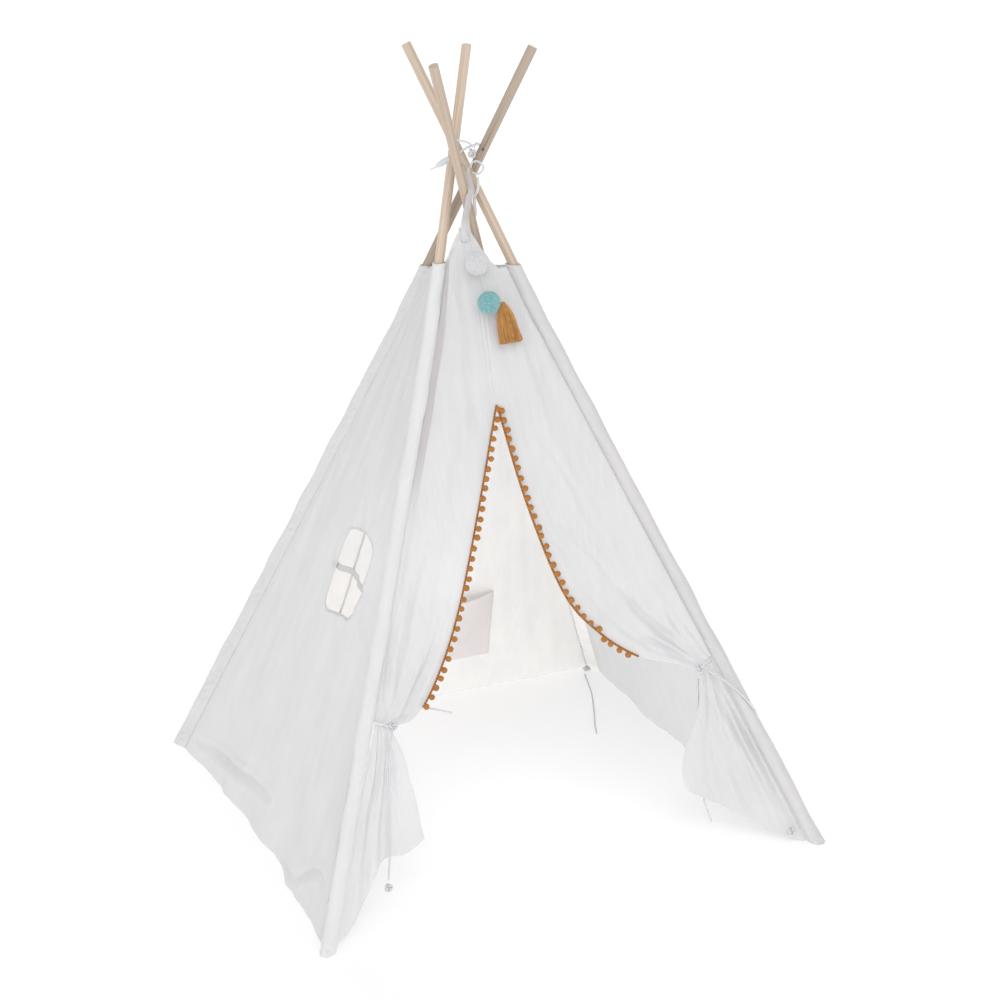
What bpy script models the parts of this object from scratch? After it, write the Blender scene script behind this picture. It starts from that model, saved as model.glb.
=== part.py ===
# Kids' play teepee. Four jointed wooden poles cross and are lashed near their tips. A cotton cover
# hangs between them on four sewn sleeves, with a door drawn back to both front poles, a window in
# the left wall, a pocket on the back wall and a trim of small pompoms round the door.
# Lengths are metres. The origin is on the floor at the centre of the base, +Z is up and the door
# faces -Y. Left and right are those of someone who looks at the door.

import math

import bmesh
import bpy
import numpy as np
from mathutils import Euler, Matrix, Vector

# Poles
POLE_LENGTH = 1.83
POLE_RADIUS = 0.0095
SECTION_LENGTH = POLE_LENGTH / 3
SECTION_GAP = 0.0012          # room for the small bend at a loose joint
FOOT_REACH = 0.533            # from the centre of the base to a pole's foot, along X and along Y
FOOT_LIFT = 0.0070            # the foot's lower rim stands on the sleeve's closed end
HOLE_FROM_TIP = 0.229
HOLE_RADIUS = 0.0028
FERRULE_LENGTH = 0.040
FERRULE_INNER = 0.0106
FERRULE_OUTER = 0.0113

# The knee is the upper joint, which the taut cover draws in, and the tip is the pole's top end. The
# hole is drilled so that the pole closes along a line turned by some degrees from its own foot,
# which lets the four poles pass each other.
# Each sleeve ends at the height "top".
CORNERS = {
    "front_left": {"side": (-1, -1), "knee": (-0.111, -0.064), "tip": (0.067, 0.142),
                   "top": 1.180, "turn": 10},
    "front_right": {"side": (1, -1), "knee": (0.114, -0.103), "tip": (-0.082, 0.097),
                    "top": 1.172, "turn": 0},
    "back_right": {"side": (1, 1), "knee": (0.091, 0.081), "tip": (-0.112, -0.126),
                   "top": 1.162, "turn": -12},
    "back_left": {"side": (-1, 1), "knee": (-0.090, 0.124), "tip": (0.120, -0.070),
                  "top": 1.156, "turn": 13},
}

# Cover
CLOTH = 0.0016                # thickness of the modelled cloth
GAP = 0.0005                  # clear space between neighbouring pieces
HEM_HEIGHT = 0.0016
SLEEVE_RADIUS = 0.0140
SLEEVE_WALL = 0.0012
SEAM_TOP = 0.003              # how far the sleeve's seam stands out beside the side wall
SEAM_FOOT = 0.024

# Door: each edge runs down from the apex to the tie, as X and Z on the front wall.
DOOR_APEX = (-0.004, 0.909)
DOOR = {
    "left": (DOOR_APEX, (-0.076, 0.729), (-0.154, 0.551), (-0.222, 0.436), (-0.283, 0.369)),
    "right": (DOOR_APEX, (0.022, 0.722), (0.067, 0.548), (0.130, 0.463), (0.204, 0.409), (0.270, 0.386)),
}
TRIM_END = {"left": 0.284, "right": 0.206}     # how far from the middle the trim stops short of the tie
FRONT_PEAK = (-0.013, 1.244)
BACK_PEAK = (0.004, 1.225)

# Ties: place along the pole from its foot, and distance out from the pole. The flap's cloth passes
# through the tie, where its upper part and its loose end meet.
KNOT = {"left": (0.438, 0.052), "right": (0.440, 0.055)}
KNOT_PROUD = 0.0105
NECK_GAP = 0.0015             # from the tie to either part's edge
CORD_RADIUS = 0.0020
THREAD_RADIUS = 0.0010

# Trim and pendant
BRAID_RADIUS = 0.0015
POMPOM_RADIUS = 0.0052
POMPOM_STEP = 0.0205
WHITE_POMPOM = ((-0.006, -0.067, 1.182), 0.0250)
TEAL_POMPOM = ((0.005, -0.096, 1.106), 0.0235)
TASSEL_HEAD = (0.036, -0.091, 1.103)
TASSEL_FOOT = (0.043, -0.121, 1.026)

# Window and pocket
WINDOW_CENTRE = (-0.050, 0.563)   # Y and Z on the left wall
WINDOW_SIZE = (0.170, 0.168)
WINDOW_ROUND = 0.050
WINDOW_TILT = math.radians(1.7)
POCKET_X = (0.020, 0.220)
POCKET_Z = (0.107, 0.296)
POCKET_SLACK = 0.022

COLOURS = {
    "wood": ((0.62, 0.49, 0.36), 0.55, 0.0),
    "steel": ((0.62, 0.62, 0.60), 0.35, 1.0),
    "cotton": ((0.80, 0.80, 0.80), 0.90, 0.0),
    "cord": ((0.78, 0.78, 0.79), 0.85, 0.0),
    "trim": ((0.45, 0.20, 0.05), 0.95, 0.0),
    "white_wool": ((0.76, 0.77, 0.78), 0.95, 0.0),
    "teal_wool": ((0.20, 0.46, 0.50), 0.95, 0.0),
    "mustard_yarn": ((0.47, 0.21, 0.07), 0.90, 0.0),
}

for old in list(bpy.data.objects):
    bpy.data.objects.remove(old, do_unlink=True)


def new_collection(name):
    """A collection linked to the scene."""
    collection = bpy.data.collections.new(name)
    bpy.context.scene.collection.children.link(collection)
    return collection


teepee = new_collection("kids_teepee")
cutters = new_collection("cutters")


def new_material(name):
    """A Principled material with the named colour, roughness and metallic value."""
    colour, roughness, metallic = COLOURS[name]
    material = bpy.data.materials.new(name)
    material.use_nodes = True
    shader = material.node_tree.nodes["Principled BSDF"]
    shader.inputs["Base Color"].default_value = (*colour, 1.0)
    shader.inputs["Roughness"].default_value = roughness
    shader.inputs["Metallic"].default_value = metallic
    return material


def unit(vector):
    """The vector at length 1."""
    vector = np.asarray(vector, float)
    return vector / np.linalg.norm(vector, axis=-1, keepdims=True)


def smooth_step(x):
    """0 below 0, 1 above 1, and an even S between."""
    x = np.clip(x, 0.0, 1.0)
    return x * x * (3 - 2 * x)


def smooth_curve(points, count):
    """Evenly spaced points on a smooth curve through the given ones."""
    points = np.asarray(points, float)
    ends = np.vstack([2 * points[0] - points[1], points, 2 * points[-1] - points[-2]])
    dense = []
    for a, b, c, d in zip(ends, ends[1:], ends[2:], ends[3:]):
        t = np.linspace(0, 1, 40, endpoint=False)[:, None]
        bend = 2 * b + (c - a) * t + (2 * a - 5 * b + 4 * c - d) * t**2 + (3 * b - a - 3 * c + d) * t**3
        dense.append(0.5 * bend)
    dense = np.vstack(dense + [points[-1:]])
    run = np.concatenate([[0], np.cumsum(np.linalg.norm(np.diff(dense, axis=0), axis=1))])
    places = np.linspace(0, run[-1], count)
    return np.column_stack([np.interp(places, run, dense[:, k]) for k in range(dense.shape[1])])


def pole_line(corner):
    """The foot, knee and tip of a pole's centre line."""
    spec = CORNERS[corner]
    foot = np.array([spec["side"][0] * FOOT_REACH, spec["side"][1] * FOOT_REACH, 0.0])
    reach = 2 * SECTION_LENGTH
    knee = np.array([*spec["knee"], 0.0])
    knee[2] = math.sqrt(reach**2 - np.sum((knee - foot) ** 2))
    tip = np.array([*spec["tip"], knee[2]])
    tip[2] += math.sqrt(SECTION_LENGTH**2 - np.sum((tip - knee) ** 2))
    return np.array([foot, knee, tip])


def pole_at(corner, height):
    """The centre of a pole at a height, or at many heights."""
    line = pole_line(corner)
    return np.stack([np.interp(height, line[:, 2], line[:, k]) for k in range(3)], axis=-1)


def pole_along(corner, distance):
    """The centre of a pole at a distance from its foot."""
    line = pole_line(corner)
    places = (0.0, 2 * SECTION_LENGTH, POLE_LENGTH)
    return np.stack([np.interp(distance, places, line[:, k]) for k in range(3)], axis=-1)


def pole_hole(corner):
    """The lashing hole, which the pole folds about."""
    return pole_along(corner, POLE_LENGTH - HOLE_FROM_TIP)


def pole_outward(corner):
    """The level direction along which a pole closes, near that in which its foot stands out."""
    line = pole_line(corner)
    away = line[0] - line[2]
    turn = math.radians(CORNERS[corner]["turn"])
    c, s = math.cos(turn), math.sin(turn)
    return unit((c * away[0] - s * away[1], s * away[0] + c * away[1], 0.0))


def fold_axis(corner):
    """The level axis through the lashing hole; a positive turn draws the foot in."""
    return np.cross((0.0, 0.0, 1.0), pole_outward(corner))


# Each wall hangs between two corners, named from the left one as seen from outside, faces out, and
# folds about a level line through its top edge.
WALLS = {
    "front_wall": ("front_left", "front_right", (0.0, -1.0, 0.0)),
    "right_wall": ("front_right", "back_right", (1.0, 0.0, 0.0)),
    "back_wall": ("back_right", "back_left", (0.0, 1.0, 0.0)),
    "left_wall": ("back_left", "front_left", (-1.0, 0.0, 0.0)),
}
WALL_HINGES = {
    "front_wall": (0.0, -0.035, 1.180),
    "right_wall": (0.055, 0.0, 1.165),
    "back_wall": (0.0, 0.050, 1.165),
    "left_wall": (-0.045, 0.0, 1.170),
}
SIDE_WALL = {
    "front_left": "left_wall",
    "back_left": "left_wall",
    "front_right": "right_wall",
    "back_right": "right_wall",
}


def new_pivot(name, place):
    """An empty on a joint's axis, which carries the pieces of one moving body."""
    pivot = bpy.data.objects.new(name, None)
    pivot.location = place
    pivot.empty_display_size = 0.03
    teepee.objects.link(pivot)
    return pivot


pivots = {corner: new_pivot("pivot_" + corner, pole_hole(corner)) for corner in CORNERS}
pivots.update({wall: new_pivot("pivot_" + wall, WALL_HINGES[wall]) for wall in WALLS})
pivots["left_tail"] = new_pivot("pivot_left_tail", pole_along("front_left", 0.0))
pivots["right_tail"] = new_pivot("pivot_right_tail", pole_along("front_right", 0.0))
PENDANT_PIVOT = (FRONT_PEAK[0], -0.024, 1.236)
PENDANT_END_PIVOT = (-0.0026, -0.0760, 1.1584)
pivots["pendant"] = new_pivot("pivot_pendant", PENDANT_PIVOT)
pivots["pendant_end"] = new_pivot("pivot_pendant_end", PENDANT_END_PIVOT)


def carry(obj, body, material):
    """Put a finished piece on its moving body, with its own material."""
    surface = new_material(material)
    surface.name = obj.name + "_" + material
    obj.data.materials.clear()
    obj.data.materials.append(surface)
    if body:
        obj.parent = pivots[body]
        obj.matrix_parent_inverse = Matrix.Translation(-pivots[body].location)
    return obj


def add_object(name, mesh, collection=teepee):
    """An object for a mesh or curve, in the part's collection unless another is given."""
    obj = bpy.data.objects.new(name, mesh)
    collection.objects.link(obj)
    return obj


def finish_mesh(name, bm, collection=teepee, sharp=40):
    """Turn a bmesh into an object with smooth round faces."""
    mesh = bpy.data.meshes.new(name)
    bm.to_mesh(mesh)
    bm.free()
    mesh.shade_smooth()
    mesh.set_sharp_from_angle(angle=math.radians(sharp))
    return add_object(name, mesh, collection)


def cylinder(name, start, end, radius, segments, collection=teepee):
    """A round bar between two points, placed by its location and rotation."""
    start, end = Vector(start), Vector(end)
    bm = bmesh.new()
    bmesh.ops.create_cone(bm, cap_ends=True, segments=segments, radius1=radius, radius2=radius,
                          depth=(end - start).length)
    obj = finish_mesh(name, bm, collection)
    obj.location = (start + end) / 2
    obj.rotation_euler = (end - start).to_track_quat("Z", "Y").to_euler()
    return obj


def hide_cutter(obj):
    """Mark a shape as a tool, which isn't part of the model."""
    obj.hide_render = True
    obj.display_type = "WIRE"


def boolean(obj, tool, operation):
    """Cut or join with a tool that stays hidden."""
    hide_cutter(tool)
    modifier = obj.modifiers.new(operation.lower(), "BOOLEAN")
    modifier.operation = operation
    modifier.solver = "EXACT"
    modifier.object = tool


def grid_faces(rows, columns, wrap=False):
    """Four-sided faces over a grid of points, row by row; wrap joins the last column to the first."""
    across = columns if wrap else columns - 1
    i, j = np.meshgrid(np.arange(rows - 1), np.arange(across), indexing="ij")
    k = (j + 1) % columns
    corners = (i * columns + j, (i + 1) * columns + j, (i + 1) * columns + k, i * columns + k)
    return np.stack(corners, axis=-1).reshape(-1, 4)


def cloth(name, grids, body, material="cotton", thickness=CLOTH):
    """A sheet over one or more grids of points that share an edge, thickened to a closed solid."""
    points, faces, offset = [], [], 0
    for grid in grids:
        rows, columns = grid.shape[:2]
        points.append(grid.reshape(-1, 3))
        faces.append(grid_faces(rows, columns) + offset)
        offset += rows * columns
    mesh = bpy.data.meshes.new(name)
    mesh.from_pydata(np.vstack(points).tolist(), [], np.vstack(faces).tolist())
    bm = bmesh.new()
    bm.from_mesh(mesh)
    bmesh.ops.remove_doubles(bm, verts=bm.verts, dist=0.00005)
    bm.to_mesh(mesh)
    bm.free()
    mesh.shade_smooth()
    obj = add_object(name, mesh)
    solid = obj.modifiers.new("thickness", "SOLIDIFY")
    solid.thickness = thickness
    solid.offset = 0.0
    return carry(obj, body, material)


def tube(name, points, radius, body, material, resolution=2, cyclic=False):
    """A cord along the points, with filled ends unless it closes on itself."""
    curve = bpy.data.curves.new(name, "CURVE")
    curve.dimensions = "3D"
    curve.bevel_depth = radius
    curve.bevel_resolution = resolution
    curve.use_fill_caps = True
    spline = curve.splines.new("POLY")
    spline.points.add(len(points) - 1)
    spline.points.foreach_set("co", np.column_stack([points, np.ones(len(points))]).ravel())
    spline.use_cyclic_u = cyclic
    return carry(add_object(name, curve), body, material)


def cord(name, route, body, radius=CORD_RADIUS, material="cord"):
    """A free cord through the route's points, with a point every two or three diameters."""
    length = np.sum(np.linalg.norm(np.diff(np.asarray(route, float), axis=0), axis=1))
    count = max(5, math.ceil(length / (radius * 5.6)))
    return tube(name, smooth_curve(route, count), radius, body, material)


def coons(top, bottom, left, right):
    """A patch between four edges that meet at its corners, two of them across and two down."""
    u = np.linspace(0, 1, len(top))[None, :, None]
    v = np.linspace(0, 1, len(left))[:, None, None]
    across = (1 - v) * top[None] + v * bottom[None]
    down = (1 - u) * left[:, None] + u * right[:, None]
    twist = (1 - v) * ((1 - u) * top[0] + u * top[-1]) + v * ((1 - u) * bottom[0] + u * bottom[-1])
    return across + down - twist


def sleeve_reach(corner, direction, height):
    """How far the sleeve's surface is from the pole's centre in a level direction, at a height."""
    line = pole_line(corner)
    axis = unit(line[1] - line[0])
    slant = np.sum(np.asarray(direction) * axis, axis=-1)
    round_part = SLEEVE_RADIUS / np.sqrt(1 - slant**2)
    first, second, _ = WALLS[SIDE_WALL[corner]]
    other = second if corner == first else first
    seam_way = unit((pole_at(other, 0.6) - pole_at(corner, 0.6)) * (1, 1, 0))
    facing = np.clip(np.sum(np.asarray(direction) * seam_way, axis=-1), 0, 1)
    seam = np.interp(height, (0.0, CORNERS[corner]["top"]), (SEAM_FOOT, SEAM_TOP))
    return round_part + seam * facing**6


def build_pole(corner):
    """Three wooden sections, the upper one drilled for the lashing, joined by two steel ferrules."""
    stops = (0.0, SECTION_LENGTH, 2 * SECTION_LENGTH, POLE_LENGTH)
    for index, part in enumerate(("lower", "middle", "upper")):
        start = stops[index] + (FOOT_LIFT / 0.86 if index == 0 else SECTION_GAP / 2)
        end = stops[index + 1] - (0.0 if index == 2 else SECTION_GAP / 2)
        name = f"pole_{corner}_{part}"
        section = cylinder(name, pole_along(corner, start), pole_along(corner, end), POLE_RADIUS, 20)
        if part == "upper":
            rounded = section.modifiers.new("sanded_end", "BEVEL")
            rounded.width = 0.0012
            rounded.segments = 1
            rounded.angle_limit = math.radians(60)
            hole = pole_hole(corner)
            reach = fold_axis(corner) * POLE_RADIUS * 2
            drill = cylinder(name + "_hole", hole - reach, hole + reach, HOLE_RADIUS, 12, cutters)
            boolean(section, drill, "DIFFERENCE")
        carry(section, corner, "wood")
    for index, part in enumerate(("low", "high")):
        joint = stops[index + 1]
        ends = pole_along(corner, np.array([joint - FERRULE_LENGTH / 2, joint + FERRULE_LENGTH / 2]))
        carry(ferrule(f"ferrule_{corner}_{part}", ends[0], ends[1]), corner, "steel")


def ferrule(name, start, end):
    """A thin turned tube: its wall's profile is swept round the pole's axis."""
    half = FERRULE_LENGTH / 2
    lip = 0.0006
    profile = [(FERRULE_INNER, half), (FERRULE_OUTER, half - lip), (FERRULE_OUTER, lip - half),
               (FERRULE_INNER, -half)]
    mesh = bpy.data.meshes.new(name)
    mesh.from_pydata([(r, 0, z) for r, z in profile], [(0, 1), (1, 2), (2, 3), (3, 0)], [])
    obj = add_object(name, mesh)
    start, end = Vector(start), Vector(end)
    obj.location = (start + end) / 2
    obj.rotation_euler = (end - start).to_track_quat("Z", "Y").to_euler()
    turn = obj.modifiers.new("turned", "SCREW")
    turn.steps = 16
    turn.render_steps = 16
    turn.use_merge_vertices = True
    turn.merge_threshold = 0.00001
    return obj


def build_sleeve(corner):
    """The sewn sleeve over a pole: a cloth tube, closed where it stands on the floor, whose seam
    stands out further beside the side wall towards the foot."""
    rows, around = 9, 16
    top = CORNERS[corner]["top"]
    knee = pole_line(corner)[1][2]
    heights = np.concatenate([[0.0, 0.03], np.linspace(0.14, knee - 0.06, rows - 4), [knee, top]])
    angle = np.linspace(0, 2 * np.pi, around, endpoint=False)
    ways = np.stack([np.cos(angle), np.sin(angle), np.zeros(around)], axis=-1)
    rings = []
    for height in heights:
        reach = sleeve_reach(corner, ways, height)
        rings.append(pole_at(corner, height) + ways * reach[:, None])
    points = np.vstack(rings)
    faces = grid_faces(len(heights), around, wrap=True)[:, ::-1].tolist()
    faces.append(list(range(around))[::-1])
    name = "sleeve_" + corner
    mesh = bpy.data.meshes.new(name)
    mesh.from_pydata(points.tolist(), [], faces)
    bm = bmesh.new()
    bm.from_mesh(mesh)
    bmesh.ops.recalc_face_normals(bm, faces=bm.faces)
    bm.to_mesh(mesh)
    bm.free()
    mesh.shade_smooth()
    obj = add_object(name, mesh)
    solid = obj.modifiers.new("thickness", "SOLIDIFY")
    solid.thickness = SLEEVE_WALL
    solid.offset = -1.0
    carry(obj, corner, "cotton")


def wall_edge(wall, corner, heights):
    """Where a wall meets the sleeve at one of its corners."""
    first, second, _ = WALLS[wall]
    other = second if corner == first else first
    here, there = pole_at(corner, heights), pole_at(other, heights)
    way = unit((there - here) * (1, 1, 0))
    reach = sleeve_reach(corner, way, heights) + GAP + CLOTH / 2
    return here + way * reach[..., None]


def on_wall(wall, level, height):
    """The point of the straight wall at a level place, X on front and back and Y on the sides."""
    first, second, _ = WALLS[wall]
    a, b = pole_at(first, height), pole_at(second, height)
    axis = 0 if wall in ("front_wall", "back_wall") else 1
    share = (np.asarray(level) - a[..., axis]) / (b[..., axis] - a[..., axis])
    return a + (b - a) * share[..., None]


def plain_wall(wall, columns, rows, peak=None, bow=0.024, folds=5, depth=0.004, phase=0.0):
    """A grid of points over a whole wall: taut at the sleeves, bowed in at the hem by its own
    weight, with soft folds that deepen towards the floor."""
    first, second, facing = WALLS[wall]
    tops = CORNERS[first]["top"] - 0.004, CORNERS[second]["top"] - 0.004
    u = np.linspace(0, 1, columns)
    v = np.linspace(0, 1, rows)
    left = wall_edge(wall, first, tops[0] + (HEM_HEIGHT - tops[0]) * v)
    right = wall_edge(wall, second, tops[1] + (HEM_HEIGHT - tops[1]) * v)
    top = left[0] + (right[0] - left[0]) * u[:, None]
    if peak is not None:
        rise = peak[1] - top[:, 2].mean()
        top[:, 2] += rise * np.sin(np.pi * u) ** 2
        top = np.where(u[:, None] * (1 - u[:, None]) > 0, on_wall(wall, top[:, 0], top[:, 2]), top)
    bottom = left[-1] + (right[-1] - left[-1]) * u[:, None]
    points = coons(top, bottom, left, right)
    edge = np.sin(np.pi * u) ** 0.7
    wave = np.sin(2 * np.pi * folds * u + phase) + 0.6 * np.sin(1.2 * np.pi * folds * u + 1 + phase)
    push = depth * edge * wave * (0.25 + 0.75 * v[:, None]) - bow * np.sin(np.pi * u) * v[:, None] ** 2
    return points + push[..., None] * np.array(facing)


def door_edge(side, count):
    """Points along one edge of the door, from its apex to the narrow neck at the tie."""
    along, out = KNOT[side]
    neck = tail_at("front_" + side, along + NECK_GAP, out)
    return smooth_curve((*DOOR[side], (neck[0], neck[2])), count)


def front_half(side):
    """Half of the front wall: from the middle of its top edge down to the door's apex, then along
    the door's edge to the tie, where the cloth is drawn into a narrow neck of folds."""
    above, below, columns = 7, 15, 12
    corner = "front_" + side
    middle = np.linspace(FRONT_PEAK, DOOR_APEX, above)
    edge = door_edge(side, below + 1)[1:]
    free = np.vstack([middle, edge])
    free = on_wall("front_wall", free[:, 0], free[:, 1])
    rows = len(free)
    v = np.linspace(0, 1, rows)
    a = np.linspace(0, 1, columns)
    tie_height = pole_along(corner, KNOT[side][0])[2]
    top_height = CORNERS[corner]["top"] - 0.004
    sewn = wall_edge("front_wall", corner, top_height + (tie_height - top_height) * v)
    top = free[0] + (sewn[0] - free[0]) * a[:, None]
    top[:, 2] -= (0.034 if side == "right" else 0.004) * np.sin(np.pi * a)
    top[1:-1] = on_wall("front_wall", top[1:-1, 0], top[1:-1, 2])
    bottom = free[-1] + (sewn[-1] - free[-1]) * a[:, None]
    points = coons(top, bottom, free, sewn)
    still = smooth_step(a / 0.22) * smooth_step((1 - a) / 0.12)
    door_share = smooth_step((v - above / rows) / (1 - above / rows))[:, None]
    narrow = np.minimum(1, np.linalg.norm(sewn - free, axis=1) / 0.16)[:, None]
    gathered = 0.012 * narrow * np.sin(2 * np.pi * 3 * a + 0.6) * door_share**1.5
    taut = 0.003 * np.sin(2 * np.pi * 2 * a + 1.0) * np.sin(np.pi * v)[:, None] * (1 - door_share)
    belly = 0.016 * narrow * np.sin(np.pi * a) * np.sin(np.pi * door_share)
    push = still * (gathered + taut - belly)
    points = points - push[..., None] * np.array((0, 1, 0))
    return points[:, ::-1] if side == "left" else points


def tail_frame(corner, turn):
    """The directions up the pole and out across the tail, turned in from the front wall."""
    line = pole_line(corner)
    up = unit(line[1] - line[0])
    across = np.array([-CORNERS[corner]["side"][0], 0.0, 0.0])
    across = unit(across - up * (across @ up))
    inward = np.cross(across, up)
    inward = inward if inward[1] > 0 else -inward
    turn = np.asarray(turn)[..., None]
    return up, across * np.cos(turn) + inward * np.sin(turn)


def tail_at(corner, along, out, proud=0.0):
    """A point of the loose flap below the tie: along the pole, out from it, and proud of the cloth
    on the outside. The flap hangs straight down from the tie, so it turns in lower down."""
    turn = math.radians(30) * smooth_step((0.43 - np.asarray(along)) / 0.20)
    up, across = tail_frame(corner, turn)
    outside = np.cross(across, up)
    outside = np.where((outside[..., 1] < 0)[..., None], outside, -outside)
    place = pole_along(corner, 0.0) + np.asarray(along)[..., None] * up
    return place + np.asarray(out)[..., None] * across + np.asarray(proud)[..., None] * outside


def on_tail(corner, route):
    """A cord's points, each given along the pole, out from it and proud of the loose end."""
    return [tail_at(corner, *place) for place in route]


# The loose ends: their free edge below the tie and their hem, as places along the pole and out from it.
TAILS = {
    "left": {
        "free": ((0.384, 0.091), (0.345, 0.117), (0.277, 0.183), (0.244, 0.219)),
        "hem": ((0.244, 0.219), (0.206, 0.168), (0.186, 0.106), (0.105, 0.080), (0.036, 0.038),
                (0.022, 0.018)),
    },
    "right": {
        "free": ((0.412, 0.065), (0.356, 0.101), (0.306, 0.147), (0.250, 0.182), (0.212, 0.186)),
        "hem": ((0.212, 0.186), (0.172, 0.154), (0.126, 0.117), (0.084, 0.087), (0.048, 0.058),
                (0.022, 0.036), (0.012, 0.018)),
    },
}


def build_tail(side):
    """The flap's loose lower end, sewn to the sleeve on one edge and hanging from the tie."""
    corner = "front_" + side
    rows, columns = 11, 9
    along, out = KNOT[side]
    neck = (along - NECK_GAP, out - 0.002)
    free = smooth_curve((neck, *TAILS[side]["free"]), rows)
    hem = smooth_curve(TAILS[side]["hem"], columns)
    a = np.linspace(0, 1, columns)
    v = np.linspace(0, 1, rows)
    sewn = np.column_stack([np.linspace(along, hem[-1][0], rows), np.full(rows, hem[-1][1])])
    top = free[0] + (sewn[0] - free[0]) * a[:, None]
    place = coons(top, hem, free, sewn)
    still = smooth_step(a / 0.15) * smooth_step((1 - a) / 0.15)
    narrow = np.minimum(1, (free[:, 1] - sewn[:, 1]) / 0.10)[:, None]
    folds = 0.008 * narrow * np.sin(2 * np.pi * 2.5 * a + 0.4) * still * (1 - 0.4 * v[:, None])
    grid = tail_at(corner, place[..., 0], place[..., 1], folds)
    grid[..., 2] = np.maximum(grid[..., 2], HEM_HEIGHT)
    cloth(f"flap_tail_{side}", [grid[:, ::-1] if side == "left" else grid], side + "_tail")


def rounded_outline(width, height, radius, steps=6):
    """The outline of a rectangle with round corners, centred on the origin."""
    points = []
    for index, (x, y) in enumerate(((1, 1), (-1, 1), (-1, -1), (1, -1))):
        angle = np.linspace(0, np.pi / 2, steps) + index * np.pi / 2
        centre = (x * (width / 2 - radius), y * (height / 2 - radius))
        points += [(centre[0] + radius * math.cos(t), centre[1] + radius * math.sin(t)) for t in angle]
    return points


def cut_window(wall):
    """Cut the round-cornered window out of the left wall."""
    curve = bpy.data.curves.new("window_cutter_outline", "CURVE")
    curve.dimensions = "2D"
    curve.fill_mode = "BOTH"
    curve.extrude = 0.08
    outline = rounded_outline(*WINDOW_SIZE, WINDOW_ROUND)
    spline = curve.splines.new("POLY")
    spline.points.add(len(outline) - 1)
    spline.points.foreach_set("co", np.array([(x, y, 0, 1) for x, y in outline]).ravel())
    spline.use_cyclic_u = True
    flat = add_object("window_cutter_outline", curve, cutters)
    bpy.context.view_layer.update()
    mesh = bpy.data.meshes.new_from_object(flat.evaluated_get(bpy.context.evaluated_depsgraph_get()))
    bm = bmesh.new()
    bm.from_mesh(mesh)
    bmesh.ops.remove_doubles(bm, verts=bm.verts, dist=0.00001)
    bmesh.ops.recalc_face_normals(bm, faces=bm.faces)
    bm.to_mesh(mesh)
    bm.free()
    bpy.data.objects.remove(flat, do_unlink=True)
    tool = add_object("window_cutter", mesh, cutters)
    centre = on_wall("left_wall", np.array(WINDOW_CENTRE[0]), np.array(WINDOW_CENTRE[1]))
    above = on_wall("left_wall", np.array(WINDOW_CENTRE[0]), np.array(WINDOW_CENTRE[1] + 0.1))
    upward = unit(above - centre)
    sideways = unit(np.cross(upward, (-1.0, 0.0, 0.0)))
    facing = np.cross(sideways, upward)
    frame = Matrix(np.column_stack([sideways, upward, facing]).tolist()).to_4x4()
    tool.matrix_world = Matrix.Translation(centre) @ frame @ Matrix.Rotation(WINDOW_TILT, 4, "Z")
    boolean(wall, tool, "DIFFERENCE")


def left_wall_push(level, height, grid):
    """How far the left wall's cloth stands from the straight wall at a place, read off its grid."""
    flat = grid.reshape(-1, 3)
    near = np.argmin((flat[:, 1] - level) ** 2 + (flat[:, 2] - height) ** 2)
    return flat[near, 0] - on_wall("left_wall", np.array(flat[near, 1]), np.array(flat[near, 2]))[0]


def build_window_bars(grid):
    """Two slack strips across the window, behind the cloth, the upright one behind the level one."""
    y, z = WINDOW_CENTRE
    level = ((y + 0.100, z - 0.006), (y + 0.067, z - 0.004), (y + 0.016, z - 0.001),
             (y - 0.029, z - 0.002), (y - 0.066, z - 0.005), (y - 0.098, z - 0.006))
    upright = ((y + 0.018, z + 0.098), (y + 0.016, z + 0.060), (y + 0.015, z + 0.010),
               (y + 0.010, z - 0.040), (y + 0.006, z - 0.098))
    bars = {"window_bar_level": (level, 0.0060, 0.0040), "window_bar_upright": (upright, 0.0045, 0.0085)}
    for name, (route, half_width, behind) in bars.items():
        middle = smooth_curve(route, 12)
        slack = behind + 0.0045 * np.sin(np.linspace(0, np.pi, 12))
        way = np.gradient(middle, axis=0)
        side = unit(np.column_stack([-way[:, 1], way[:, 0]])) * half_width
        rails = []
        for edge in (middle - side, middle + side):
            rail = on_wall("left_wall", edge[:, 0], edge[:, 1])
            rail[:, 0] += [left_wall_push(a, b, grid) for a, b in edge]
            rail[:, 0] += slack
            rails.append(rail)
        cloth(name, [np.stack(rails, axis=1)], "left_wall", thickness=0.0010)


def build_pocket(grid):
    """A patch pocket sewn inside the back wall on three edges, slack at its mouth."""
    rows, columns = 7, 9
    u = np.linspace(0, 1, columns)
    v = np.linspace(0, 1, rows)[:, None]
    x = POCKET_X[0] + (POCKET_X[1] - POCKET_X[0]) * u + 0.008 * (v - 0.5)
    z = POCKET_Z[0] + (POCKET_Z[1] - POCKET_Z[0]) * v - 0.010 * (1 - u) * v - 0.006 * np.sin(np.pi * u) * v
    points = on_wall("back_wall", x, z)
    flat = grid.reshape(-1, 3)
    inside = (flat[:, 0] > POCKET_X[0] - 0.06) & (flat[:, 0] < POCKET_X[1] + 0.06)
    inside &= (flat[:, 2] > POCKET_Z[0] - 0.12) & (flat[:, 2] < POCKET_Z[1] + 0.12)
    lowest = np.min((flat[:, 1] - on_wall("back_wall", flat[:, 0], flat[:, 2])[:, 1])[inside])
    slack = POCKET_SLACK * np.sin(np.pi * u) ** 0.8 * smooth_step(v * 1.1) ** 0.8
    points[..., 1] += lowest - CLOTH * 1.6 - slack
    cloth("back_pocket", [points], "back_wall")


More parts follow.
